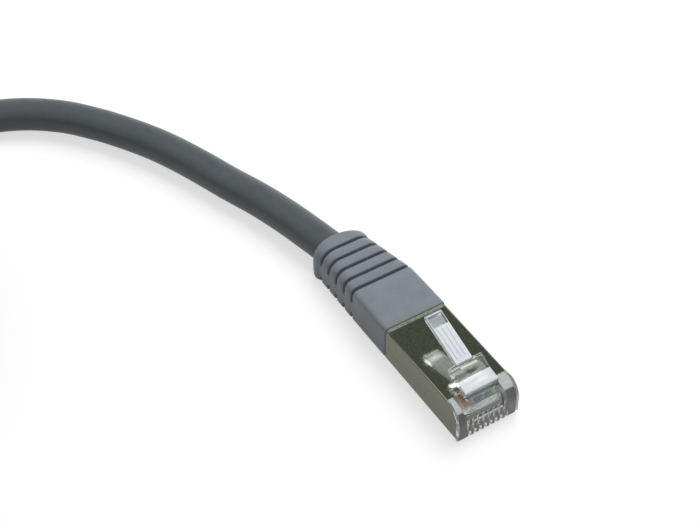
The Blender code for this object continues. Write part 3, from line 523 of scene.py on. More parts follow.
@dataclass(frozen=True)
class SoftMoulding:
    """Satin soft plastic with a fine grain, as on the boots, the jacket, the comb and the wires."""

    name: str
    dark: Colour
    light: Colour
    roughness: float = 0.5
    grain: float = 0.16 * MM
    drift: float = 2.4 * MM
    depth: float = 0.012 * MM
    bump: float = 0.6
    see_through: float = 0.0
    gloss: float = 0.5

    def build(self) -> bpy.types.Material:
        """Make the material.

        Returns:
            The material.
        """
        surface = Surface(self.name)
        skin = surface.effect(
            Effect.MOULDED_SKIN, Dark=(*self.dark, 1.0), Light=(*self.light, 1.0),
            Grain_Size=self.grain, Drift_Size=self.drift)
        surface.set(Roughness=self.roughness, Transmission_Weight=self.see_through)
        surface.set(Specular_IOR_Level=self.gloss)
        surface.feed(skin.outputs["Colour"], "Base Color")
        surface.raise_by(skin.outputs["Height"], self.depth, self.bump)
        return surface.material


@dataclass(frozen=True)
class ClearMoulding:
    """Clear or frosted plastic."""

    name: str
    colour: Colour
    smooth: float
    rough: float
    clearness: float
    index: float = 1.57
    smears: float = 1.6 * MM
    depth: float = 0.004 * MM
    bump: float = 0.4

    def build(self) -> bpy.types.Material:
        """Make the material.

        Returns:
            The material.
        """
        surface = Surface(self.name)
        wear = surface.effect(Effect.HANDLED, Smooth=self.smooth, Rough=self.rough, Size=self.smears)
        surface.set(Base_Color=(*self.colour, 1.0), IOR=self.index, Transmission_Weight=self.clearness)
        surface.feed(wear.outputs["Roughness"], "Roughness")
        surface.raise_by(wear.outputs["Height"], self.depth, self.bump)
        return surface.material


@dataclass(frozen=True)
class BrightMetal:
    """Plated or bare sheet metal with faint smears and hairlines."""

    name: str
    dark: Colour
    light: Colour
    smooth: float
    rough: float
    smears: float = 0.9 * MM
    mottle: float = 0.45 * MM
    depth: float = 0.004 * MM
    bump: float = 0.5

    def tone(self, sheet: NodeSheet, colour: Socket) -> Socket:
        """The mottled colour, the same all over."""
        return colour

    def build(self) -> bpy.types.Material:
        """Make the material.

        Returns:
            The material.
        """
        surface = Surface(self.name)
        wear = surface.effect(Effect.HANDLED, Smooth=self.smooth, Rough=self.rough, Size=self.smears)
        skin = surface.effect(
            Effect.MOULDED_SKIN, Dark=(*self.dark, 1.0), Light=(*self.light, 1.0),
            Grain_Size=self.smears, Drift_Size=self.mottle)
        surface.set(Metallic=1.0)
        surface.feed(self.tone(surface.sheet, skin.outputs["Colour"]), "Base Color")
        surface.feed(wear.outputs["Roughness"], "Roughness")
        surface.raise_by(wear.outputs["Height"], self.depth, self.bump)
        return surface.material


@dataclass(frozen=True)
class SideShadedMetal(BrightMetal):
    """Bright metal with painted shade below its roof, chosen to match the photograph, not known wear."""

    # colour multiplied in below the roof: painted shade for the shadowed floor that the sides mirror
    side: Colour = (0.245, 0.255, 0.19)
    roof: float = 6.55 * MM
    fade: float = 0.03 * MM

    def tone(self, sheet: NodeSheet, colour: Socket) -> Socket:
        """The mottled colour, with painted shade below the roof.

        Args:
            sheet: the material's nodes.
            colour: the mottled colour.

        Returns:
            The toned colour.
        """
        split = sheet.add("ShaderNodeSeparateXYZ")
        sheet.join(sheet.add("ShaderNodeTexCoord").outputs["Object"], split.inputs[0])
        level = sheet.add(
            "ShaderNodeMapRange", From_Min=self.roof - self.fade, From_Max=self.roof + self.fade,
            To_Min=1.0, To_Max=0.0)
        sheet.join(split.outputs["Z"], level.inputs["Value"])
        painted_side_shade = sheet.add("ShaderNodeMix", data_type="RGBA", blend_type="MULTIPLY")
        sheet.join(level.outputs["Result"], painted_side_shade.inputs["Factor"])
        sheet.join(colour, painted_side_shade.inputs[sheet.FIRST_COLOUR])
        painted_side_shade.inputs[sheet.SECOND_COLOUR].default_value = (*self.side, 1.0)
        return painted_side_shade.outputs[sheet.MIXED_COLOUR]


INSULATION_GAIN, INSULATION_LIFT = 1.12, 0.01  # from an insulation's colour to its lighter tone


class WireColour(Enum):
    """Insulation colours, in the order of the contacts."""

    WHITE_ORANGE = (0.92, 0.60, 0.34)
    ORANGE = (0.96, 0.34, 0.02)
    WHITE_GREEN = (0.62, 0.78, 0.64)
    BLUE = (0.05, 0.22, 0.58)
    WHITE_BLUE = (0.60, 0.68, 0.82)
    GREEN = (0.02, 0.56, 0.38)
    WHITE_BROWN = (0.68, 0.58, 0.50)
    BROWN = (0.20, 0.09, 0.04)

    @property
    def slot(self) -> str:
        """The slot name for a wire of this colour, which keys its material."""
        return "wire_" + self.name.lower()

    def finish(self) -> SoftMoulding:
        """The insulation's finish, which drifts to a slightly lighter tone.

        Returns:
            The finish.
        """
        light = tuple(min(1.0, value * INSULATION_GAIN + INSULATION_LIFT) for value in self.value)
        return SoftMoulding(
            "insulation_" + self.name.lower(), self.value, light, roughness=0.32,
            grain=0.1 * MM, drift=1.2 * MM, depth=0.004 * MM)


BOOT_GREY = SoftMoulding("boot_grey_soft", (0.190, 0.216, 0.238), (0.216, 0.244, 0.266))
# The jacket's grey is set far darker than the boot's: painted shade for the cord's darker look.
JACKET_SHADED_GREY = SoftMoulding(
    "jacket_grey_shaded", (0.074, 0.088, 0.096), (0.090, 0.105, 0.114), roughness=0.42,
    grain=0.2 * MM, gloss=0.4)
COMB_WHITE = SoftMoulding(
    "comb_white", (0.66, 0.68, 0.69), (0.76, 0.78, 0.78), roughness=0.3, see_through=0.2)
HOUSING_CLEAR = ClearMoulding("housing_clear", (0.80, 0.85, 0.835), 0.03, 0.10, 0.90)
LATCH_CLEAR = ClearMoulding("latch_clear", (0.70, 0.73, 0.72), 0.04, 0.12, 1.0)
LATCH_FROSTED = ClearMoulding("latch_frosted", (0.88, 0.905, 0.96), 0.30, 0.38, 0.32)
# The crest bar's cream tint is a painted highlight, not the plastic's own colour.
CREST_PAINTED_HIGHLIGHT = ClearMoulding("latch_crest_highlight", (0.88, 0.85, 0.70), 0.16, 0.24, 0.10)
# The shield's sides below its roof are darkened with painted shade.
SHIELD_NICKEL = SideShadedMetal(
    "shield_nickel", (0.38, 0.39, 0.345), (0.58, 0.59, 0.53), 0.08, 0.18, mottle=0.32 * MM)
# The lip's nickel is lighter and warmer than the shield's: a painted highlight along the rolled edge.
LIP_HIGHLIGHT_NICKEL = BrightMetal("lip_nickel_highlight", (0.62, 0.61, 0.52), (0.82, 0.79, 0.66), 0.18, 0.30)
CONTACT_GILT = BrightMetal("contact_gilt", (0.78, 0.58, 0.27), (0.88, 0.68, 0.35), 0.12, 0.24)
WIRE_COPPER = BrightMetal("wire_copper", (0.62, 0.30, 0.16), (0.72, 0.38, 0.22), 0.20, 0.34)
FOIL = BrightMetal(
    "foil", (0.64, 0.65, 0.66), (0.76, 0.77, 0.78), 0.18, 0.36, smears=0.6 * MM, depth=0.03 * MM)


# ---------------------------------------------------------------- cord


@dataclass(frozen=True)
class CordRun:
    """The whole cord as one curve, from inside the near boot to inside the far boot.

    Places on its route are in mm. The boots' ribs pinch it to a share of its diameter.
    """

    diameter: float = 6.3 * MM
    start_back: float = 30.1
    exit_back: float = 44.2
    bend: float = 1.78
    bend_start: float = 26.0
    bundle_height: float = 3.45
    exit_height: float = 3.55
    climb_start: float = 23.8
    inside_steps: int = 4
    straight_out: float = 3.78
    pinch: float = 0.76
    pinch_start: float = 43.3
    pinch_length: float = 1.2
    lead: tuple[Point, ...] = (
        (-50.6, -3.05, 3.47), (-55.9, -4.15, 3.30), (-62.7, -6.05, 3.20), (-69.2, -8.40, 3.15),
        (-75.2, -10.40, 3.15), (-81.2, -12.60, 3.15), (-85.6, -14.50, 3.15), (-89.7, -16.65, 3.15),
        (-93.6, -19.0, 3.15), (-97.2, -21.4, 3.15), (-102.9, -26.0, 3.15), (-107.6, -31.8, 3.15),
        (-110.6, -38.0, 3.15), (-112.1, -43.6, 3.15), (-112.7, -50.5, 3.15), (-112.73, -58.0, 3.15),
        (-112.73, -65.5, 3.15), (-112.73, -74.0, 3.15),
    )
    tail: tuple[Point, ...] = (
        (-69.8, -128.8, 9.58), (-65.8, -129.15, 8.41), (-62.8, -129.25, 6.98), (-59.8, -129.2, 5.54),
        (-55.8, -128.8, 4.37),
    )
    coil_centre: tuple[float, float] = (-75.70, -90.80)
    coil_radius: float = 31.5
    coil_step: float = 6.84
    coil_turns: float = 3.23
    climb_turns: float = 0.5
    loop_points: int = 24
    spacing: float = 1.5 * MM
    sides_resolution: int = 12
    free_length: float = 0.835

    def middle(self, back: float) -> Vector:
        """The cord's middle inside the near boot.

        Args:
            back: distance behind the nose, in mm.

        Returns:
            The place, in mm.
        """
        share = max(back - self.bend_start, 0.0) / (self.exit_back - self.bend_start)
        climb = ease((back - self.climb_start) / (self.exit_back - self.climb_start))
        return Vector((-back, -self.bend * share**2, between(self.bundle_height, self.exit_height, climb)))

    def scale(self, back: float) -> float:
        """Share of its diameter that the cord has inside a boot, a distance behind the nose."""
        return between(self.pinch, 1.0, ease((back - self.pinch_start) / self.pinch_length + 0.5))

    def inside(self) -> list[Vector]:
        """The route from the jacket's cut end to just outside the near boot.

        Returns:
            Its points, in mm.
        """
        stations = [between(self.start_back, self.exit_back, k / self.inside_steps)
                    for k in range(self.inside_steps + 1)]
        points = [self.middle(back) for back in stations]
        slope = 2 * self.bend / (self.exit_back - self.bend_start)
        points.append(points[-1] + self.straight_out * Vector((-1.0, -slope, 0.0)).normalized())
        return points

    def coil(self) -> list[Vector]:
        """The coil: in along the lower layer, up, and out along the upper layer.

        Returns:
            Its points, in mm, with a short straight run at each end.
        """
        half = self.coil_turns / 2
        outer = self.coil_radius + self.coil_step * half / 2
        middle = Vector((*self.coil_centre, self.diameter / MM / 2))
        points = []
        steps = round(self.coil_turns * self.loop_points)
        for k in range(steps + 1):
            turn = self.coil_turns * k / steps
            radius = outer - self.coil_step * min(turn, self.coil_turns - turn)
            angle = math.pi + math.tau * turn
            climb = self.coil_step * ease((turn - half) / self.climb_turns + 0.5)
            points.append(middle + Vector((radius * math.cos(angle), radius * math.sin(angle), climb)))
        straight = self.diameter / MM
        points.insert(0, points[0] + Vector((0.0, straight, 0.0)))
        end = math.pi + math.tau * self.coil_turns
        points.append(points[-1] + straight * Vector((-math.sin(end), math.cos(end), 0.0)))
        return points

    def route(self) -> list[Vector]:
        """The whole route.

        Returns:
            Every point that the cord goes through, in metres.
        """
        near = self.inside()
        shift = End.FAR.offset / MM
        far = [place + shift for place in reversed(near)]
        middle = [Vector(place) for place in self.lead] + self.coil()
        middle += [Vector(place) for place in self.tail]
        return [place * MM for place in near + middle + far]

    def exit(self) -> Point:
        """The middle of the cord where it leaves the near boot, in metres."""
        return tuple(self.middle(self.exit_back) * MM)

    def in_a_boot(self, place: Vector) -> bool:
        """Whether a point of the cord lies inside one of the boots."""
        ends = (self.middle(self.exit_back) * MM + end.offset for end in End)
        return place.x > -self.exit_back * MM and any(abs(place.y - end.y) < self.diameter for end in ends)

    def build(self, material: bpy.types.Material) -> bpy.types.Object:
        """Make the cord as a curve of one open spline.

        Args:
            material: the jacket's material.

        Returns:
            The cord.
        """
        curve = bpy.data.curves.new("cord", "CURVE")
        curve.dimensions = "3D"
        curve.bevel_depth = self.diameter / 2
        curve.bevel_resolution = self.sides_resolution
        curve.use_fill_caps = True
        points = smooth_route(self.route(), self.spacing)
        spline = curve.splines.new("POLY")
        spline.points.add(len(points) - 1)
        for point, place in zip(spline.points, points):
            point.co = (*place, 1.0)
            point.radius = self.scale(-place.x / MM) if self.in_a_boot(place) else 1.0
        spline.use_smooth = True
        cord = bpy.data.objects.new("cord", curve)
        bpy.context.scene.collection.objects.link(cord)
        curve.materials.append(material)
        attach(cord, BODY)
        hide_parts("cord_lead", "cord_coil", "cord_tail", "near_jacket_end", "far_jacket_end")
        return cord


# ---------------------------------------------------------------- boot


@dataclass(frozen=True)
class BootShell:
    """A ribbed strain-relief boot, skinned ring by ring: socket, outside, collar and cord bore.

    Lengths are in mm, and a place along the boot is its distance behind the plug's nose.
    """

    front: float = 20.94
    rear: float = 44.20
    width: float = 12.0
    front_height: float = 7.0
    front_corner: float = 0.8
    base_corner: float = 0.7
    edge: float = 0.35
    neck: float = 30.6
    neck_corner: float = 1.1
    rib_width: float = 10.2
    rib_height: float = 7.1
    rib_corner: float = 2.8
    collar_width: float = 10.7
    collar_height: float = 7.1
    collar_corner: float = 3.0
    collar_rise: float = 0.6
    collar_end: float = 42.7
    rear_wall: float = 0.38
    side_shift: float = 0.95
    grooves: int = 5
    groove_first: float = 31.25
    groove_pitch: float = 2.52
    groove_reach: float = 0.42
    groove_depth: float = 1.0
    corner_loss: float = 0.6
    least_corner: float = 0.1
    upper_end: float = 4.3
    lower_end: float = 1.4
    fade: float = 0.5
    shield_width: float = 11.18
    shield_low: float = 0.25
    shield_high: float = 6.35
    socket_back: float = 21.58
    room_back: float = 28.8
    room_width: float = 9.6
    room_low: float = 0.8
    room_high: float = 6.2
    bore_ease: float = 0.02
    hollow_corner: float = 0.1
    corner_steps: int = 8
    corner_limit: float = 0.999
    side_points: int = 11
    top_points: int = 5
    edge_steps: int = 4
    front_gap: float = 1.0
    front_steps: int = 3
    collar_steps: int = 4
    end_steps: int = 9
    mouth_steps: int = 6
    bore_steps: int = 5
    smooth_angle: float = 40.0

    @property
    def ribs_end(self) -> float:
        """Where the last groove ends."""
        return self.groove_first + (self.grooves - 1) * self.groove_pitch + self.groove_reach

    def size(self, back: float) -> tuple[float, float, float]:
        """The outside's size at a place.

        Args:
            back: the place.

        Returns:
            Its width, height and upper corner radius.
        """
        collar = self.ribs_end + self.collar_rise
        stages = (
            (self.front, (self.width, self.front_height, self.front_corner)),
            (self.neck, (self.width, (self.front_height + self.rib_height) / 2, self.neck_corner)),
            (self.ribs_end, (self.rib_width, self.rib_height, self.rib_corner)),
            (collar, (self.collar_width, self.collar_height, self.collar_corner)),
        )
        for (start, first), (end, last) in zip(stages, stages[1:]):
            if back <= end:
                share = max(back - start, 0.0) / (end - start)
                if end == collar:
                    share = ease(share)
                return tuple(between(a, b, share) for a, b in zip(first, last))
        return stages[-1][1]

    def shift(self, back: float) -> float:
        """The boot's sideways offset at a place."""
        return -self.side_shift * max(back - self.neck, 0.0) / (self.rear - self.neck)

    def section(self, width: float, low: float, high: float, corner: float, base: float) -> Section:
        """A rectangle with round corners.

        Args:
            width: its width.
            low: its underside.
            high: its top.
            corner: radius of its upper corners.
            base: radius of its lower corners.

        Returns:
            Its points as (across, up), the same number for every rectangle.
        """
        half = width / 2
        limit = min(half, (high - low) / 2) * self.corner_limit
        corner, base = min(corner, limit), min(base, limit)
        top, bottom = high - corner, low + base
        sides = [k / (self.side_points + 1) for k in range(1, self.side_points + 1)]
        levels = [k / (self.top_points + 1) for k in range(1, self.top_points + 1)]
        points = arc((half - corner, top), corner, 0, 90, self.corner_steps)
        points += [(between(half - corner, corner - half, share), high) for share in levels]
        points += arc((corner - half, top), corner, 90, 180, self.corner_steps)
        points += [(-half, between(top, bottom, share)) for share in sides]
        points += arc((base - half, bottom), base, 180, 270, self.corner_steps)
        points += [(between(base - half, half - base, share), low) for share in levels]
        points += arc((half - base, bottom), base, 270, 360, self.corner_steps)
        points += [(half, between(bottom, top, share)) for share in sides]
        return points

    def outer(self, back: float, inset: float = 0.0, groove: float = 0.0) -> list[Point]:
        """One ring of the outside.

        Args:
            back: its distance behind the nose.
            inset: how far it is drawn in all round.
            groove: how deep the groove is there, which fades out beside.

        Returns:
            The ring's points in mm.
        """
        width, height, corner = self.size(back)
        side = self.shift(back)
        plain = self.section(width - 2 * inset, inset, height - inset, corner, self.base_corner)
        tighter = groove * self.corner_loss
        deep_base = max(self.base_corner - tighter, self.least_corner)
        deep = self.section(width - 2 * groove, groove, height - groove, corner - tighter, deep_base)
        ring = []
        for (across, up), (deep_across, deep_up) in zip(plain, deep):
            upper = ease((up - self.upper_end) / self.fade + 0.5)
            lower = ease((self.lower_end - up) / self.fade + 0.5)
            share = max(upper, lower) if groove else 0.0
            ring.append((-back, side + between(across, deep_across, share), between(up, deep_up, share)))
        return ring

    def hollow(self, back: float, width: float, low: float, high: float) -> list[Point]:
        """One ring of the socket or of the room behind it."""
        corner = self.hollow_corner
        return [(-back, across, up) for across, up in self.section(width, low, high, corner, corner)]

    def bore(self, back: float, cord: CordRun, wall: float = 0.0) -> list[Point]:
        """One ring round the cord, a distance behind the nose.

        Args:
            back: the ring's distance behind the nose.
            cord: the cord in the bore.
            wall: thickness left between the ring and the bore.

        Returns:
            The ring's points in mm.
        """
        middle = cord.middle(back)
        radius = cord.diameter * cord.scale(back) / MM / 2 + self.bore_ease + wall
        points = self.section(2 * radius, middle.z - radius, middle.z + radius, radius, radius)
        return [(-back, middle.y + across, up) for across, up in points]

    def groove_rings(self, middle: float) -> list[list[Point]]:
        """One groove: rounded lips, steep walls and a narrow rounded floor.

        Args:
            middle: its place.

        Returns:
            Its rings.
        """
        profile = (
            (1.0, 0.0), (0.885, 0.03), (0.79, 0.10), (0.71, 0.22), (0.665, 0.45), (0.635, 0.75),
            (0.52, 0.93), (0.27, 1.0),
        )
        walls = [(-place, share) for place, share in profile] + list(reversed(profile))
        return [
            self.outer(middle + place * self.groove_reach, groove=self.groove_depth * share)
            for place, share in walls
        ]

    def collar_rings(self, cord: CordRun) -> list[list[Point]]:
        """The end of the collar, rounded off to a thin wall round the cord.

        Args:
            cord: the cord in the bore.

        Returns:
            Its rings.
        """
        whole = self.outer(self.collar_end)
        thin = self.bore(self.rear, cord, self.rear_wall)
        rings = []
        for k in range(1, self.end_steps + 1):
            angle = math.pi / 2 * k / self.end_steps
            back = between(self.collar_end, self.rear, math.sin(angle))
            share = 1 - math.cos(angle)
            ring = []
            for start, end in zip(whole, thin):
                ring.append((-back, between(start[1], end[1], share), between(start[2], end[2], share)))
            rings.append(ring)
        return rings

    def rings(self, cord: CordRun) -> list[list[Point]]:
        """The whole boot, from the room's rear wall round the front face and back along the bore.

        Args:
            cord: the cord in the bore.

        Returns:
            All the rings in order.
        """
        shield = (self.shield_width, self.shield_low, self.shield_high)
        room = (self.room_width, self.room_low, self.room_high)
        found = [self.hollow(self.room_back, *room), self.hollow(self.socket_back, *room)]
        found += [self.hollow(self.socket_back, *shield), self.hollow(self.front, *shield)]
        for k in range(self.edge_steps + 1):
            angle = math.pi / 2 * k / self.edge_steps
            inset = self.edge * (1 - math.sin(angle))
            found.append(self.outer(self.front + self.edge * (1 - math.cos(angle)), inset))
        start = self.front + self.front_gap
        for k in range(self.front_steps):
            found.append(self.outer(between(start, self.neck, k / self.front_steps)))
        for k in range(self.grooves):
            found += self.groove_rings(self.groove_first + k * self.groove_pitch)
        for k in range(1, self.collar_steps + 1):
            found.append(self.outer(between(self.ribs_end, self.collar_end, k / self.collar_steps)))
        found += self.collar_rings(cord)
        mouth = cord.pinch_start - cord.pinch_length
        for k in range(self.mouth_steps + 1):
            found.append(self.bore(between(self.rear, mouth, k / self.mouth_steps), cord))
        for k in range(1, self.bore_steps + 1):
            found.append(self.bore(between(mouth, self.room_back, k / self.bore_steps), cord))
        return found

    def build(self, cord: CordRun, material: bpy.types.Material) -> bpy.types.Object:
        """Skin the near boot ring by ring.

        Args:
            cord: the cord in the boot's bore.
            material: the boot's material.

        Returns:
            The boot.
        """
        rings = [[Vector(place) * MM for place in ring] for ring in self.rings(cord)]
        boot = Bench.skin("near_boot_shell", [*rings, rings[0]], capped=False)
        Bench.shade(boot, self.smooth_angle)
        dress(boot, material)
        return boot


# ---------------------------------------------------------------- plug


@dataclass(frozen=True)
class EdgeSoftener:
    """Rounds a piece's sharp edges with modifiers that leave its own mesh alone.

    Its width and weld are in metres, its angles in degrees.
    """

    width: float
    segments: int = 2
    angle: float = 28.0
    flat_angle: float = 0.6
    weld: float = 0.0005 * MM

    def soften(self, piece: bpy.types.Object) -> None:
        """Weld loose triangles, clear flat edges, bevel the sharp ones and shade smooth.

        Args:
            piece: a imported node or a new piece.
        """
        weld = piece.modifiers.new("weld", "WELD")
        weld.merge_threshold = self.weld
        flat = piece.modifiers.new("flat_faces", "DECIMATE")
        flat.decimate_type = "DISSOLVE"
        flat.angle_limit = math.radians(self.flat_angle)
        bevel = piece.modifiers.new("edges", "BEVEL")
        bevel.width = self.width
        bevel.segments = self.segments
        bevel.limit_method = "ANGLE"
        bevel.angle_limit = math.radians(self.angle)
        bevel.use_clamp_overlap = True
        piece.modifiers.new("even_shading", "WEIGHTED_NORMAL")
        piece.data.shade_smooth()


class LatchFinish(Enum):
    """Finishes of the latch's faces, in the order of its material slots."""

    CLEAR = 0
    FROSTED = 1
    # the crest bar's cream painted highlight
    CREST = 2


@dataclass(frozen=True)
class LatchMoulding:
    """The sprung latch: knuckle, ramp with shoulders, crest bar, and a lever with ridges and window.

    Lengths are in mm. An outline's points are given as (forward, up). The top of the ramp and the
    lever's two broad faces are frosted to the depth of the frost, and the crest bar is tinted cream
    as a painted highlight.
    """

    axis_back: float = 2.45
    axis_height: float = 6.70
    knuckle: float = 0.50
    knuckle_steps: int = 20
    half_width: float = 3.15
    front_back: float = 2.35
    front_height: float = 7.90
    front_edge: float = 0.15
    step_back: float = 4.7
    step_height: float = 8.25
    shoulder_back: float = 7.20
    shoulder_crest: float = 0.70
    shoulder_top: float = 9.32
    shoulder_foot: float = 7.95
    underside: float = 7.05
    lever_half: float = 1.55
    lever_root: float = 9.10
    lever_thickness: float = 0.95
    gusset: float = 1.20
    overlap: float = 1.50
    tip_back: float = 16.50
    tip_height: float = 12.00
    tip_round: float = 0.30
    window_length: float = 1.95
    window_rim: float = 0.30
    window_side: float = 0.16
    window_depth: float = 0.62
    ridges: int = 3
    ridge_width: float = 0.34
    ridge_height: float = 0.10
    ridge_sunk: float = 0.10
    ridge_start: float = 0.90
    ridge_stop: float = 0.40
    bar_radius: float = 0.22
    bar_back: float = 6.12
    bar_height: float = 9.16
    bar_half: float = 1.612
    bar_sides: int = 30
    bar_margin: float = 1.05
    frost_lead: float = 0.3
    frost_depth: float = 0.154
    under_normal: float = -0.7
    edge: float = 0.07
    edge_steps: int = 3
    smooth_angle: float = 30.0

    def top(self, back: float, drop: float = 0.0) -> tuple[float, float]:
        """A point of the lever's upper face, or below it."""
        share = (back - self.shoulder_back) / (self.tip_back - self.shoulder_back)
        return (-back, between(self.lever_root, self.tip_height, share) - drop)

    @property
    def window(self) -> tuple[float, float]:
        """The window's two ends, as distances behind the nose."""
        rear = self.tip_back - self.tip_round - self.window_rim
        return rear - self.window_length, rear

    def ramp_outline(self) -> Section:
        """The wide front from the side.

        Returns:
            Its outline.
        """
        lean = math.degrees(math.acos((self.axis_back - self.front_back) / self.knuckle))
        centre = (-self.axis_back, self.axis_height)
        return arc(centre, self.knuckle, 180, 360 + lean, self.knuckle_steps) + [
            (-self.front_back, self.front_height - self.front_edge),
            (-self.front_back - self.front_edge, self.front_height),
            (-self.step_back, self.step_height),
            (-self.shoulder_back + self.shoulder_crest, self.shoulder_top),
            (-self.shoulder_back, self.shoulder_top), (-self.shoulder_back, self.shoulder_foot),
            (-self.axis_back - self.knuckle, self.underside),
        ]

    def lever_outline(self) -> Section:
        """The lever from the side, its root inside the ramp.

        Returns:
            Its outline.
        """
        first, last = self.shoulder_back - self.shoulder_crest, self.tip_back - self.tip_round
        low = self.tip_height - self.lever_thickness
        return [
            self.top(first), self.top(last), (-self.tip_back, self.tip_height - self.tip_round),
            (-self.tip_back, low + self.tip_round), self.top(last, self.lever_thickness),
            self.top(self.shoulder_back + self.gusset, self.lever_thickness),
            (self.overlap - self.shoulder_back, self.shoulder_foot),
        ]

    def add_ridges(self, latch: bpy.types.Object) -> None:
        """Join the finger ridges to the lever.

        Args:
            latch: the latch.
        """
        first, last = self.shoulder_back + self.ridge_start, self.window[0] - self.ridge_stop
        outline = [
            self.top(first, self.ridge_sunk), self.top(first, -self.ridge_height),
            self.top(last, -self.ridge_height), self.top(last, self.ridge_sunk),
        ]
        pitch = 2 * (self.lever_half - self.window_rim) / self.ridges
        for k in range(self.ridges):
            low = (k - (self.ridges - 1) / 2) * pitch - self.ridge_width / 2
            Bench.combine(latch, "UNION", Bench.slab("ridge", outline, low, low + self.ridge_width))

    def cut_window(self, latch: bpy.types.Object) -> None:
        """Cut the pocket near the lever's tip.

        Args:
            latch: the latch.
        """
        front, rear = self.window
        half = self.lever_half - self.window_side
        above = self.tip_height + self.window_depth
        outline = [
            self.top(front, self.window_depth), (-front, above), (-rear, above),
            self.top(rear, self.window_depth),
        ]
        Bench.combine(latch, "DIFFERENCE", Bench.slab("window", outline, -half, half))

    def add_bar(self, latch: bpy.types.Object) -> None:
        """Join the thin bar across the crest, where the lever starts.

        Args:
            latch: the latch.
        """
        last = 360 - 360 / self.bar_sides
        outline = arc((-self.bar_back, self.bar_height), self.bar_radius, 0, last, self.bar_sides - 1)
        Bench.combine(latch, "UNION", Bench.slab("bar", outline, -self.bar_half, self.bar_half))

    def on_bar(self, place: Vector) -> bool:
        """Whether a point in mm lies on the crest bar."""
        distance = math.hypot(place.x + self.bar_back, place.z - self.bar_height)
        beside = abs(place.y) < self.bar_half * self.bar_margin
        return beside and distance < self.bar_radius * self.bar_margin

    def finish_of(self, latch: bpy.types.Object, face: bpy.types.MeshPolygon) -> LatchFinish:
        """Choose a face's finish by its place.

        Args:
            latch: the latch.
            face: one of its faces.

        Returns:
            The finish.
        """
        # The crest bar's faces take the cream painted highlight.
        if all(self.on_bar(latch.data.vertices[k].co / MM) for k in face.vertices):
            return LatchFinish.CREST
        middle = face.center / MM
        back, up = -middle.x, middle.z
        ramp_top = back < self.step_back + self.edge and up > self.front_height - 2 * self.edge
        solid = self.shoulder_back - self.frost_lead < back < self.window[0] + self.edge
        upper = up > self.top(back, self.frost_depth)[1]
        under = face.normal.z < self.under_normal and back > self.shoulder_back
        lever = solid and abs(middle.y) < self.lever_half and (upper or under)
        return LatchFinish.FROSTED if ramp_top or lever else LatchFinish.CLEAR

    def build(self, finishes: Sequence[bpy.types.Material]) -> bpy.types.Object:
        """Model the near latch.

        Args:
            finishes: its materials, in the order of LatchFinish.

        Returns:
            The latch.
        """
        latch = Bench.slab("near_latch_moulding", self.ramp_outline(), -self.half_width, self.half_width)
        lever = Bench.slab("lever", self.lever_outline(), -self.lever_half, self.lever_half)
        Bench.combine(latch, "UNION", lever)
        self.cut_window(latch)
        self.add_ridges(latch)
        EdgeSoftener(self.edge * MM, self.edge_steps).soften(latch)
        Bench.apply_all(latch)
        self.add_bar(latch)
        for finish in finishes:
            latch.data.materials.append(finish)
        for face in latch.data.polygons:
            face.material_index = self.finish_of(latch, face).value
        Bench.shade(latch, self.smooth_angle)
        return latch


@dataclass(frozen=True)
class WireRun:
    """An insulated wire from its cut end at the nose, through the comb, to the foil. Lengths in mm."""

    radius: float = 0.42
    core: float = 0.20
    recess: float = 0.02
    rounding: float = 0.06
    nose_gap: float = 1.35
    pitch: float = 1.02
    height: float = 3.90
    comb_rear: float = 12.26
    rear: float = 16.44
    gather_end: float = 15.80
    ring_radius: float = 1.55
    bundle_height: float = 3.45
    rise_share: float = 0.6
    shift_start: float = 0.3
    gather_steps: int = 14
    sides: int = 20
    smooth_angle: float = 40.0

    def middles(self, number: int) -> list[Vector]:
        """A wire's middle line: straight through the comb, then up or down and into the foil.

        Args:
            number: the wire's place in the row, from 0.

        Returns:
            Its points, in mm.
        """
        count = len(WireColour)
        across = (number - (count - 1) / 2) * self.pitch
        quarter = 180 * (1 - (number // 2 + 0.5) / (count // 2))
        angle = math.radians(quarter if number % 2 else -quarter)
        end_across = self.ring_radius * math.cos(angle)
        end_up = self.bundle_height + self.ring_radius * math.sin(angle)
        points = []
        for k in range(self.gather_steps + 1):
            share = k / self.gather_steps
            rise = ease(share / self.rise_share)
            shift = ease((share - self.shift_start) / (1 - self.shift_start))
            back = between(self.comb_rear, self.gather_end, share)
            points.append(
                Vector((-back, between(across, end_across, shift), between(self.height, end_up, rise))))
        points.append(Vector((-self.rear, end_across, end_up)))
        return [Vector((-self.nose_gap, across, self.height)), *points]

    def ring(self, middle: Vector, radius: float) -> list[Vector]:
        """One ring of the wire round a place in mm, in metres."""
        return upright_ring(middle, radius, self.sides, Vector((0.0, 1.0, 0.0)))

    def build(
            self, number: int, insulation: bpy.types.Material,
            copper: bpy.types.Material) -> bpy.types.Object:
        """Model a wire of the near plug.

        Args:
            number: its place in the row, from 0.
            insulation: material of its insulation.
            copper: material of its core.

        Returns:
            The wire.
        """
        line = self.middles(number)
        front = line[0]
        inward = Vector((-self.recess, 0.0, 0.0))
        rings = [self.ring(front + inward, self.core), self.ring(front, self.core)]
        rings.append(self.ring(front, self.radius - self.rounding))
        rings.append(self.ring(front - Vector((self.rounding, 0.0, 0.0)), self.radius))
        rings += [self.ring(place, self.radius) for place in line[1:]]
        wire = Bench.skin(f"near_wire_{number + 1}_round", rings, capped=True)
        wire.data.materials.append(insulation)
        wire.data.materials.append(copper)
        for face in wire.data.polygons:
            face.material_index = int(len(face.vertices) == self.sides)
        Bench.shade(wire, self.smooth_angle)
        return wire


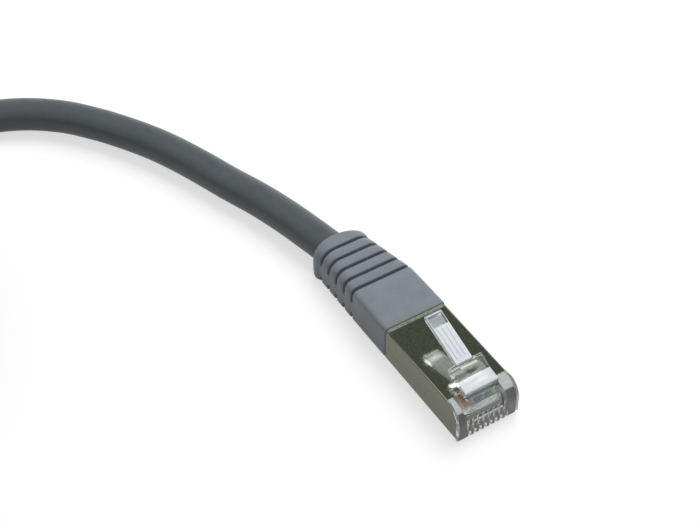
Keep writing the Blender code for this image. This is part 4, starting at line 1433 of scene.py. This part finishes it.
@dataclass(frozen=True)
class ShieldLip:
    """The rolled edge on top of the shield's turned-up rear lip, bright as a painted highlight. Lengths in
    mm.
    """

    back: float = 20.74
    height: float = 6.83
    half_length: float = 5.46
    radius: float = 0.11
    sides: int = 16
    end_steps: int = 4
    smooth_angle: float = 50.0

    def ring(self, across: float, radius: float) -> list[Vector]:
        """One ring of the roll, in metres."""
        middle = Vector((-self.back, across, self.height))
        return upright_ring(middle, radius, self.sides, Vector((1.0, 0.0, 0.0)))

    def build(self, material: bpy.types.Material) -> bpy.types.Object:
        """Model the near plug's rolled edge, with rounded ends.

        Args:
            material: the edge's material.

        Returns:
            The rolled edge.
        """
        angles = [math.pi / 2 * k / self.end_steps for k in range(1, self.end_steps + 1)]
        middle = self.half_length - self.radius
        ends = [(middle + self.radius * math.cos(a), self.radius * math.sin(a)) for a in angles]
        rings = [self.ring(-across, radius) for across, radius in ends]
        rings += [self.ring(across, radius) for across, radius in reversed(ends)]
        lip = Bench.skin("near_shield_lip", rings, capped=True)
        Bench.shade(lip, self.smooth_angle)
        dress(lip, material)
        return lip


@dataclass
class PlugDressing:
    """Finishes and rounded edges of one end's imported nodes."""

    end: End
    nodes: dict[str, bpy.types.Object]
    materials: dict[str, bpy.types.Material]
    shield_edge: float = 0.04 * MM
    housing_edge: float = 0.05 * MM
    small_edge: float = 0.03 * MM

    def dress_all(self) -> None:
        """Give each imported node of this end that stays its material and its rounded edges."""
        plan = {
            "plug_housing": ("housing", self.housing_edge), "shield": ("shield", self.shield_edge),
            "wire_comb": ("comb", self.small_edge), "foil_core": ("foil", None),
        }
        for number in range(1, len(WireColour) + 1):
            plan[f"contact_{number}"] = ("gilt", self.small_edge)
        for part, (finish, edge) in plan.items():
            node = self.nodes[self.end.prefix + part]
            dress(node, self.materials[finish])
            if edge:
                EdgeSoftener(edge).soften(node)
            LOG.info("%s in %s", node.name, finish)


# ---------------------------------------------------------------- studio


@dataclass(frozen=True)
class Studio:
    """Table, soft light, and a dim greenish card overhead that only reflections see.

    The card is neither floor nor backdrop. It stands between polished metal and the white
    surroundings, so the shield's roof looks much paler without it.
    """

    sky: float = 0.35
    table_shade: float = 0.38
    table_lift: float = 0.64
    table_gap: float = 0.02 * MM
    table_size: float = 4.0
    table_roughness: float = 0.9
    key_power: float = 5.7
    key_place: Point = (-0.24, 0.34, 0.66)
    key_size: float = 0.60
    card_place: Point = (-0.17, 0.125, 0.24)
    card_size: float = 0.34
    card_colour: Colour = (0.84, 1.0, 0.74)
    card_shade: float = 0.13

    def seen_as_drawn(self, sheet: NodeSheet) -> Socket:
        """Tell the rays that see the white surroundings as they are drawn from the others.

        Args:
            sheet: the nodes of a material or of the world.

        Returns:
            1 for those rays, else 0.
        """
        path = sheet.add("ShaderNodeLightPath")
        total = path.outputs[Rays.CAMERA.value]
        for kind in (Rays.GLOSSY, Rays.TRANSMISSION):
            either = sheet.add("ShaderNodeMath", operation="MAXIMUM")
            sheet.join(total, either.inputs[0])
            sheet.join(path.outputs[kind.value], either.inputs[1])
            total = either.outputs[0]
        return total

    def build_world(self) -> None:
        """White to the eye and to reflections, softer as a light."""
        world = bpy.data.worlds.new("studio")
        bpy.context.scene.world = world
        world.use_nodes = True
        world.node_tree.nodes.clear()
        sheet = NodeSheet(world.node_tree)
        light = sheet.add("ShaderNodeBackground", Color=(1.0, 1.0, 1.0, 1.0), Strength=self.sky)
        white = sheet.add("ShaderNodeBackground", Color=(1.0, 1.0, 1.0, 1.0), Strength=1.0)
        mix, leave = sheet.add("ShaderNodeMixShader"), sheet.add("ShaderNodeOutputWorld")
        sheet.join(self.seen_as_drawn(sheet), mix.inputs[0])
        sheet.join(light.outputs[0], mix.inputs[1])
        sheet.join(white.outputs[0], mix.inputs[2])
        sheet.join(mix.outputs[0], leave.inputs["Surface"])

    def build_table(self) -> None:
        """A grey table top that the eye and reflections see raised to white, outside shadows."""
        Bench.clear_selection()
        bpy.ops.mesh.primitive_plane_add(size=self.table_size, location=(0.0, 0.0, -self.table_gap))
        table = Bench.name_active("table")
        surface = Surface("table_white")
        surface.set(Base_Color=(self.table_shade, self.table_shade, self.table_shade, 1.0))
        surface.set(Roughness=self.table_roughness, Specular_IOR_Level=0.0)
        surface.set(Emission_Color=(1.0, 1.0, 1.0, 1.0))
        lift = surface.sheet.add("ShaderNodeMath", operation="MULTIPLY")
        lift.inputs[1].default_value = self.table_lift
        surface.sheet.join(self.seen_as_drawn(surface.sheet), lift.inputs[0])
        surface.feed(lift.outputs[0], "Emission Strength")
        dress(table, surface.material)

    def build_key(self) -> None:
        """One large soft lamp, high behind the cable and hidden from reflections."""
        lamp = bpy.data.lights.new("key", "AREA")
        lamp.energy = self.key_power
        lamp.size = self.key_size
        key = bpy.data.objects.new("key", lamp)
        bpy.context.scene.collection.objects.link(key)
        key.location = self.key_place
        key.rotation_euler = (-key.location).to_track_quat("-Z", "Y").to_euler()
        key.visible_glossy = False

    def build_card(self) -> None:
        """The dim card: it darkens and tints what metal mirrors, and casts no shadow."""
        Bench.clear_selection()
        bpy.ops.mesh.primitive_plane_add(size=self.card_size, location=self.card_place)
        card = Bench.name_active("dim_card")
        card.rotation_euler = Vector(self.card_place).to_track_quat("Z", "Y").to_euler()
        surface = Surface("card_grey")
        surface.set(Base_Color=(0.0, 0.0, 0.0, 1.0), Roughness=1.0, Specular_IOR_Level=0.0)
        surface.set(Emission_Color=(*self.card_colour, 1.0), Emission_Strength=self.card_shade)
        dress(card, surface.material)
        for kind in ("camera", "diffuse", "transmission", "volume_scatter", "shadow"):
            setattr(card, "visible_" + kind, False)

    def build(self) -> None:
        """Set up the surroundings and the plain view transform."""
        self.build_world()
        self.build_table()
        self.build_key()
        self.build_card()
        bpy.context.scene.view_settings.view_transform = "Standard"


@dataclass(frozen=True)
class Viewpoint:
    """The camera: its place, its three directions and its lens.

    The focal length is a multiple of the picture's width, and the sensor's width is in mm.
    """

    place: Point = (109.007 * MM, -95.034 * MM, 184.144 * MM)
    right: Point = (0.535295, 0.844665, -0.000514)
    down: Point = (0.603929, -0.383157, -0.698900)
    ahead: Point = (-0.590533, 0.373807, -0.715219)
    focal_share: float = 1450 / 700
    sensor: float = 36.0
    nearest: float = 1 * MM

    def build(self) -> None:
        """Make the camera and look through it."""
        data = bpy.data.cameras.new("camera")
        data.sensor_width = self.sensor
        data.lens = self.focal_share * self.sensor
        data.clip_start = self.nearest
        camera = bpy.data.objects.new("camera", data)
        bpy.context.scene.collection.objects.link(camera)
        axes = Matrix((Vector(self.right), -Vector(self.down), -Vector(self.ahead))).transposed()
        camera.matrix_world = Matrix.Translation(self.place) @ axes.to_4x4()
        bpy.context.scene.camera = camera


# ---------------------------------------------------------------- assembly


@dataclass
class PatchCable:
    """The whole cable: the cord, and the boot, latch, lip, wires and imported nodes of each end."""

    nodes: dict[str, bpy.types.Object]
    cord: CordRun
    boot: BootShell
    far_pieces: list[bpy.types.Object] = field(default_factory=list)

    def materials(self) -> dict[str, bpy.types.Material]:
        """Make every finish once.

        Returns:
            The materials by name, and the insulations' by their slots.
        """
        finishes = {
            "boot": BOOT_GREY, "jacket": JACKET_SHADED_GREY, "comb": COMB_WHITE, "housing": HOUSING_CLEAR,
            "clear": LATCH_CLEAR, "frosted": LATCH_FROSTED, "crest": CREST_PAINTED_HIGHLIGHT,
            "shield": SHIELD_NICKEL, "lip": LIP_HIGHLIGHT_NICKEL, "gilt": CONTACT_GILT, "copper": WIRE_COPPER,
            "foil": FOIL,
        }
        finishes |= {colour.slot: colour.finish() for colour in WireColour}
        return {name: finish.build() for name, finish in finishes.items()}

    def fit(self, near: bpy.types.Object, name: str, body: str, slot: str, stands_for: str = "") -> None:
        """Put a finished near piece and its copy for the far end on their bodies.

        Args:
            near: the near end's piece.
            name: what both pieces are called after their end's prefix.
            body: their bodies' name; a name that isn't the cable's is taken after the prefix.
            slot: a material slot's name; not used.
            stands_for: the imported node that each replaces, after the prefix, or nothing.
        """
        near.name = near.data.name = End.NEAR.prefix + name
        far = Bench.twin(near, End.FAR.prefix + name, End.FAR.offset)
        for end, piece in ((End.NEAR, near), (End.FAR, far)):
            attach(piece, body if body == BODY else end.prefix + body)
            if stands_for:
                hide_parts(end.prefix + stands_for)
        self.far_pieces.append(far)
        LOG.info("%s with %d faces", name, len(near.data.polygons))

    def build(self) -> None:
        materials = self.materials()
        cord = self.cord.build(materials["jacket"])
        LOG.info("cord of %.0f mm", self.cord.free_length / MM)
        self.fit(self.boot.build(self.cord, materials["boot"]), "boot_shell", BODY, "boot_grey", "boot")
        plastics = [materials[finish.name.lower()] for finish in LatchFinish]
        self.fit(LatchMoulding().build(plastics), "latch_moulding", "latch", "clear_plastic", "latch")
        self.fit(ShieldLip().build(materials["lip"]), "shield_lip", BODY, "nickel_shield")
        for number, colour in enumerate(WireColour):
            wire = WireRun().build(number, materials[colour.slot], materials["copper"])
            self.fit(wire, f"wire_{number + 1}_round", BODY, colour.slot, f"wire_{number + 1}")
        for end in End:
            PlugDressing(end, self.nodes, materials).dress_all()
        self.cord.exit()


def main() -> None:
    """Build the scene: camera and cord first, then the plugs and the studio."""
    logging.basicConfig(level=logging.INFO, format="%(name)s: %(message)s")
    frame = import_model()
    Viewpoint().build()
    moulded_skin_group()
    handled_group()
    PatchCable(frame["nodes"], CordRun(), BootShell()).build()
    Studio().build()
    LOG.info("sizes written")


if __name__ == "__main__":
    main()
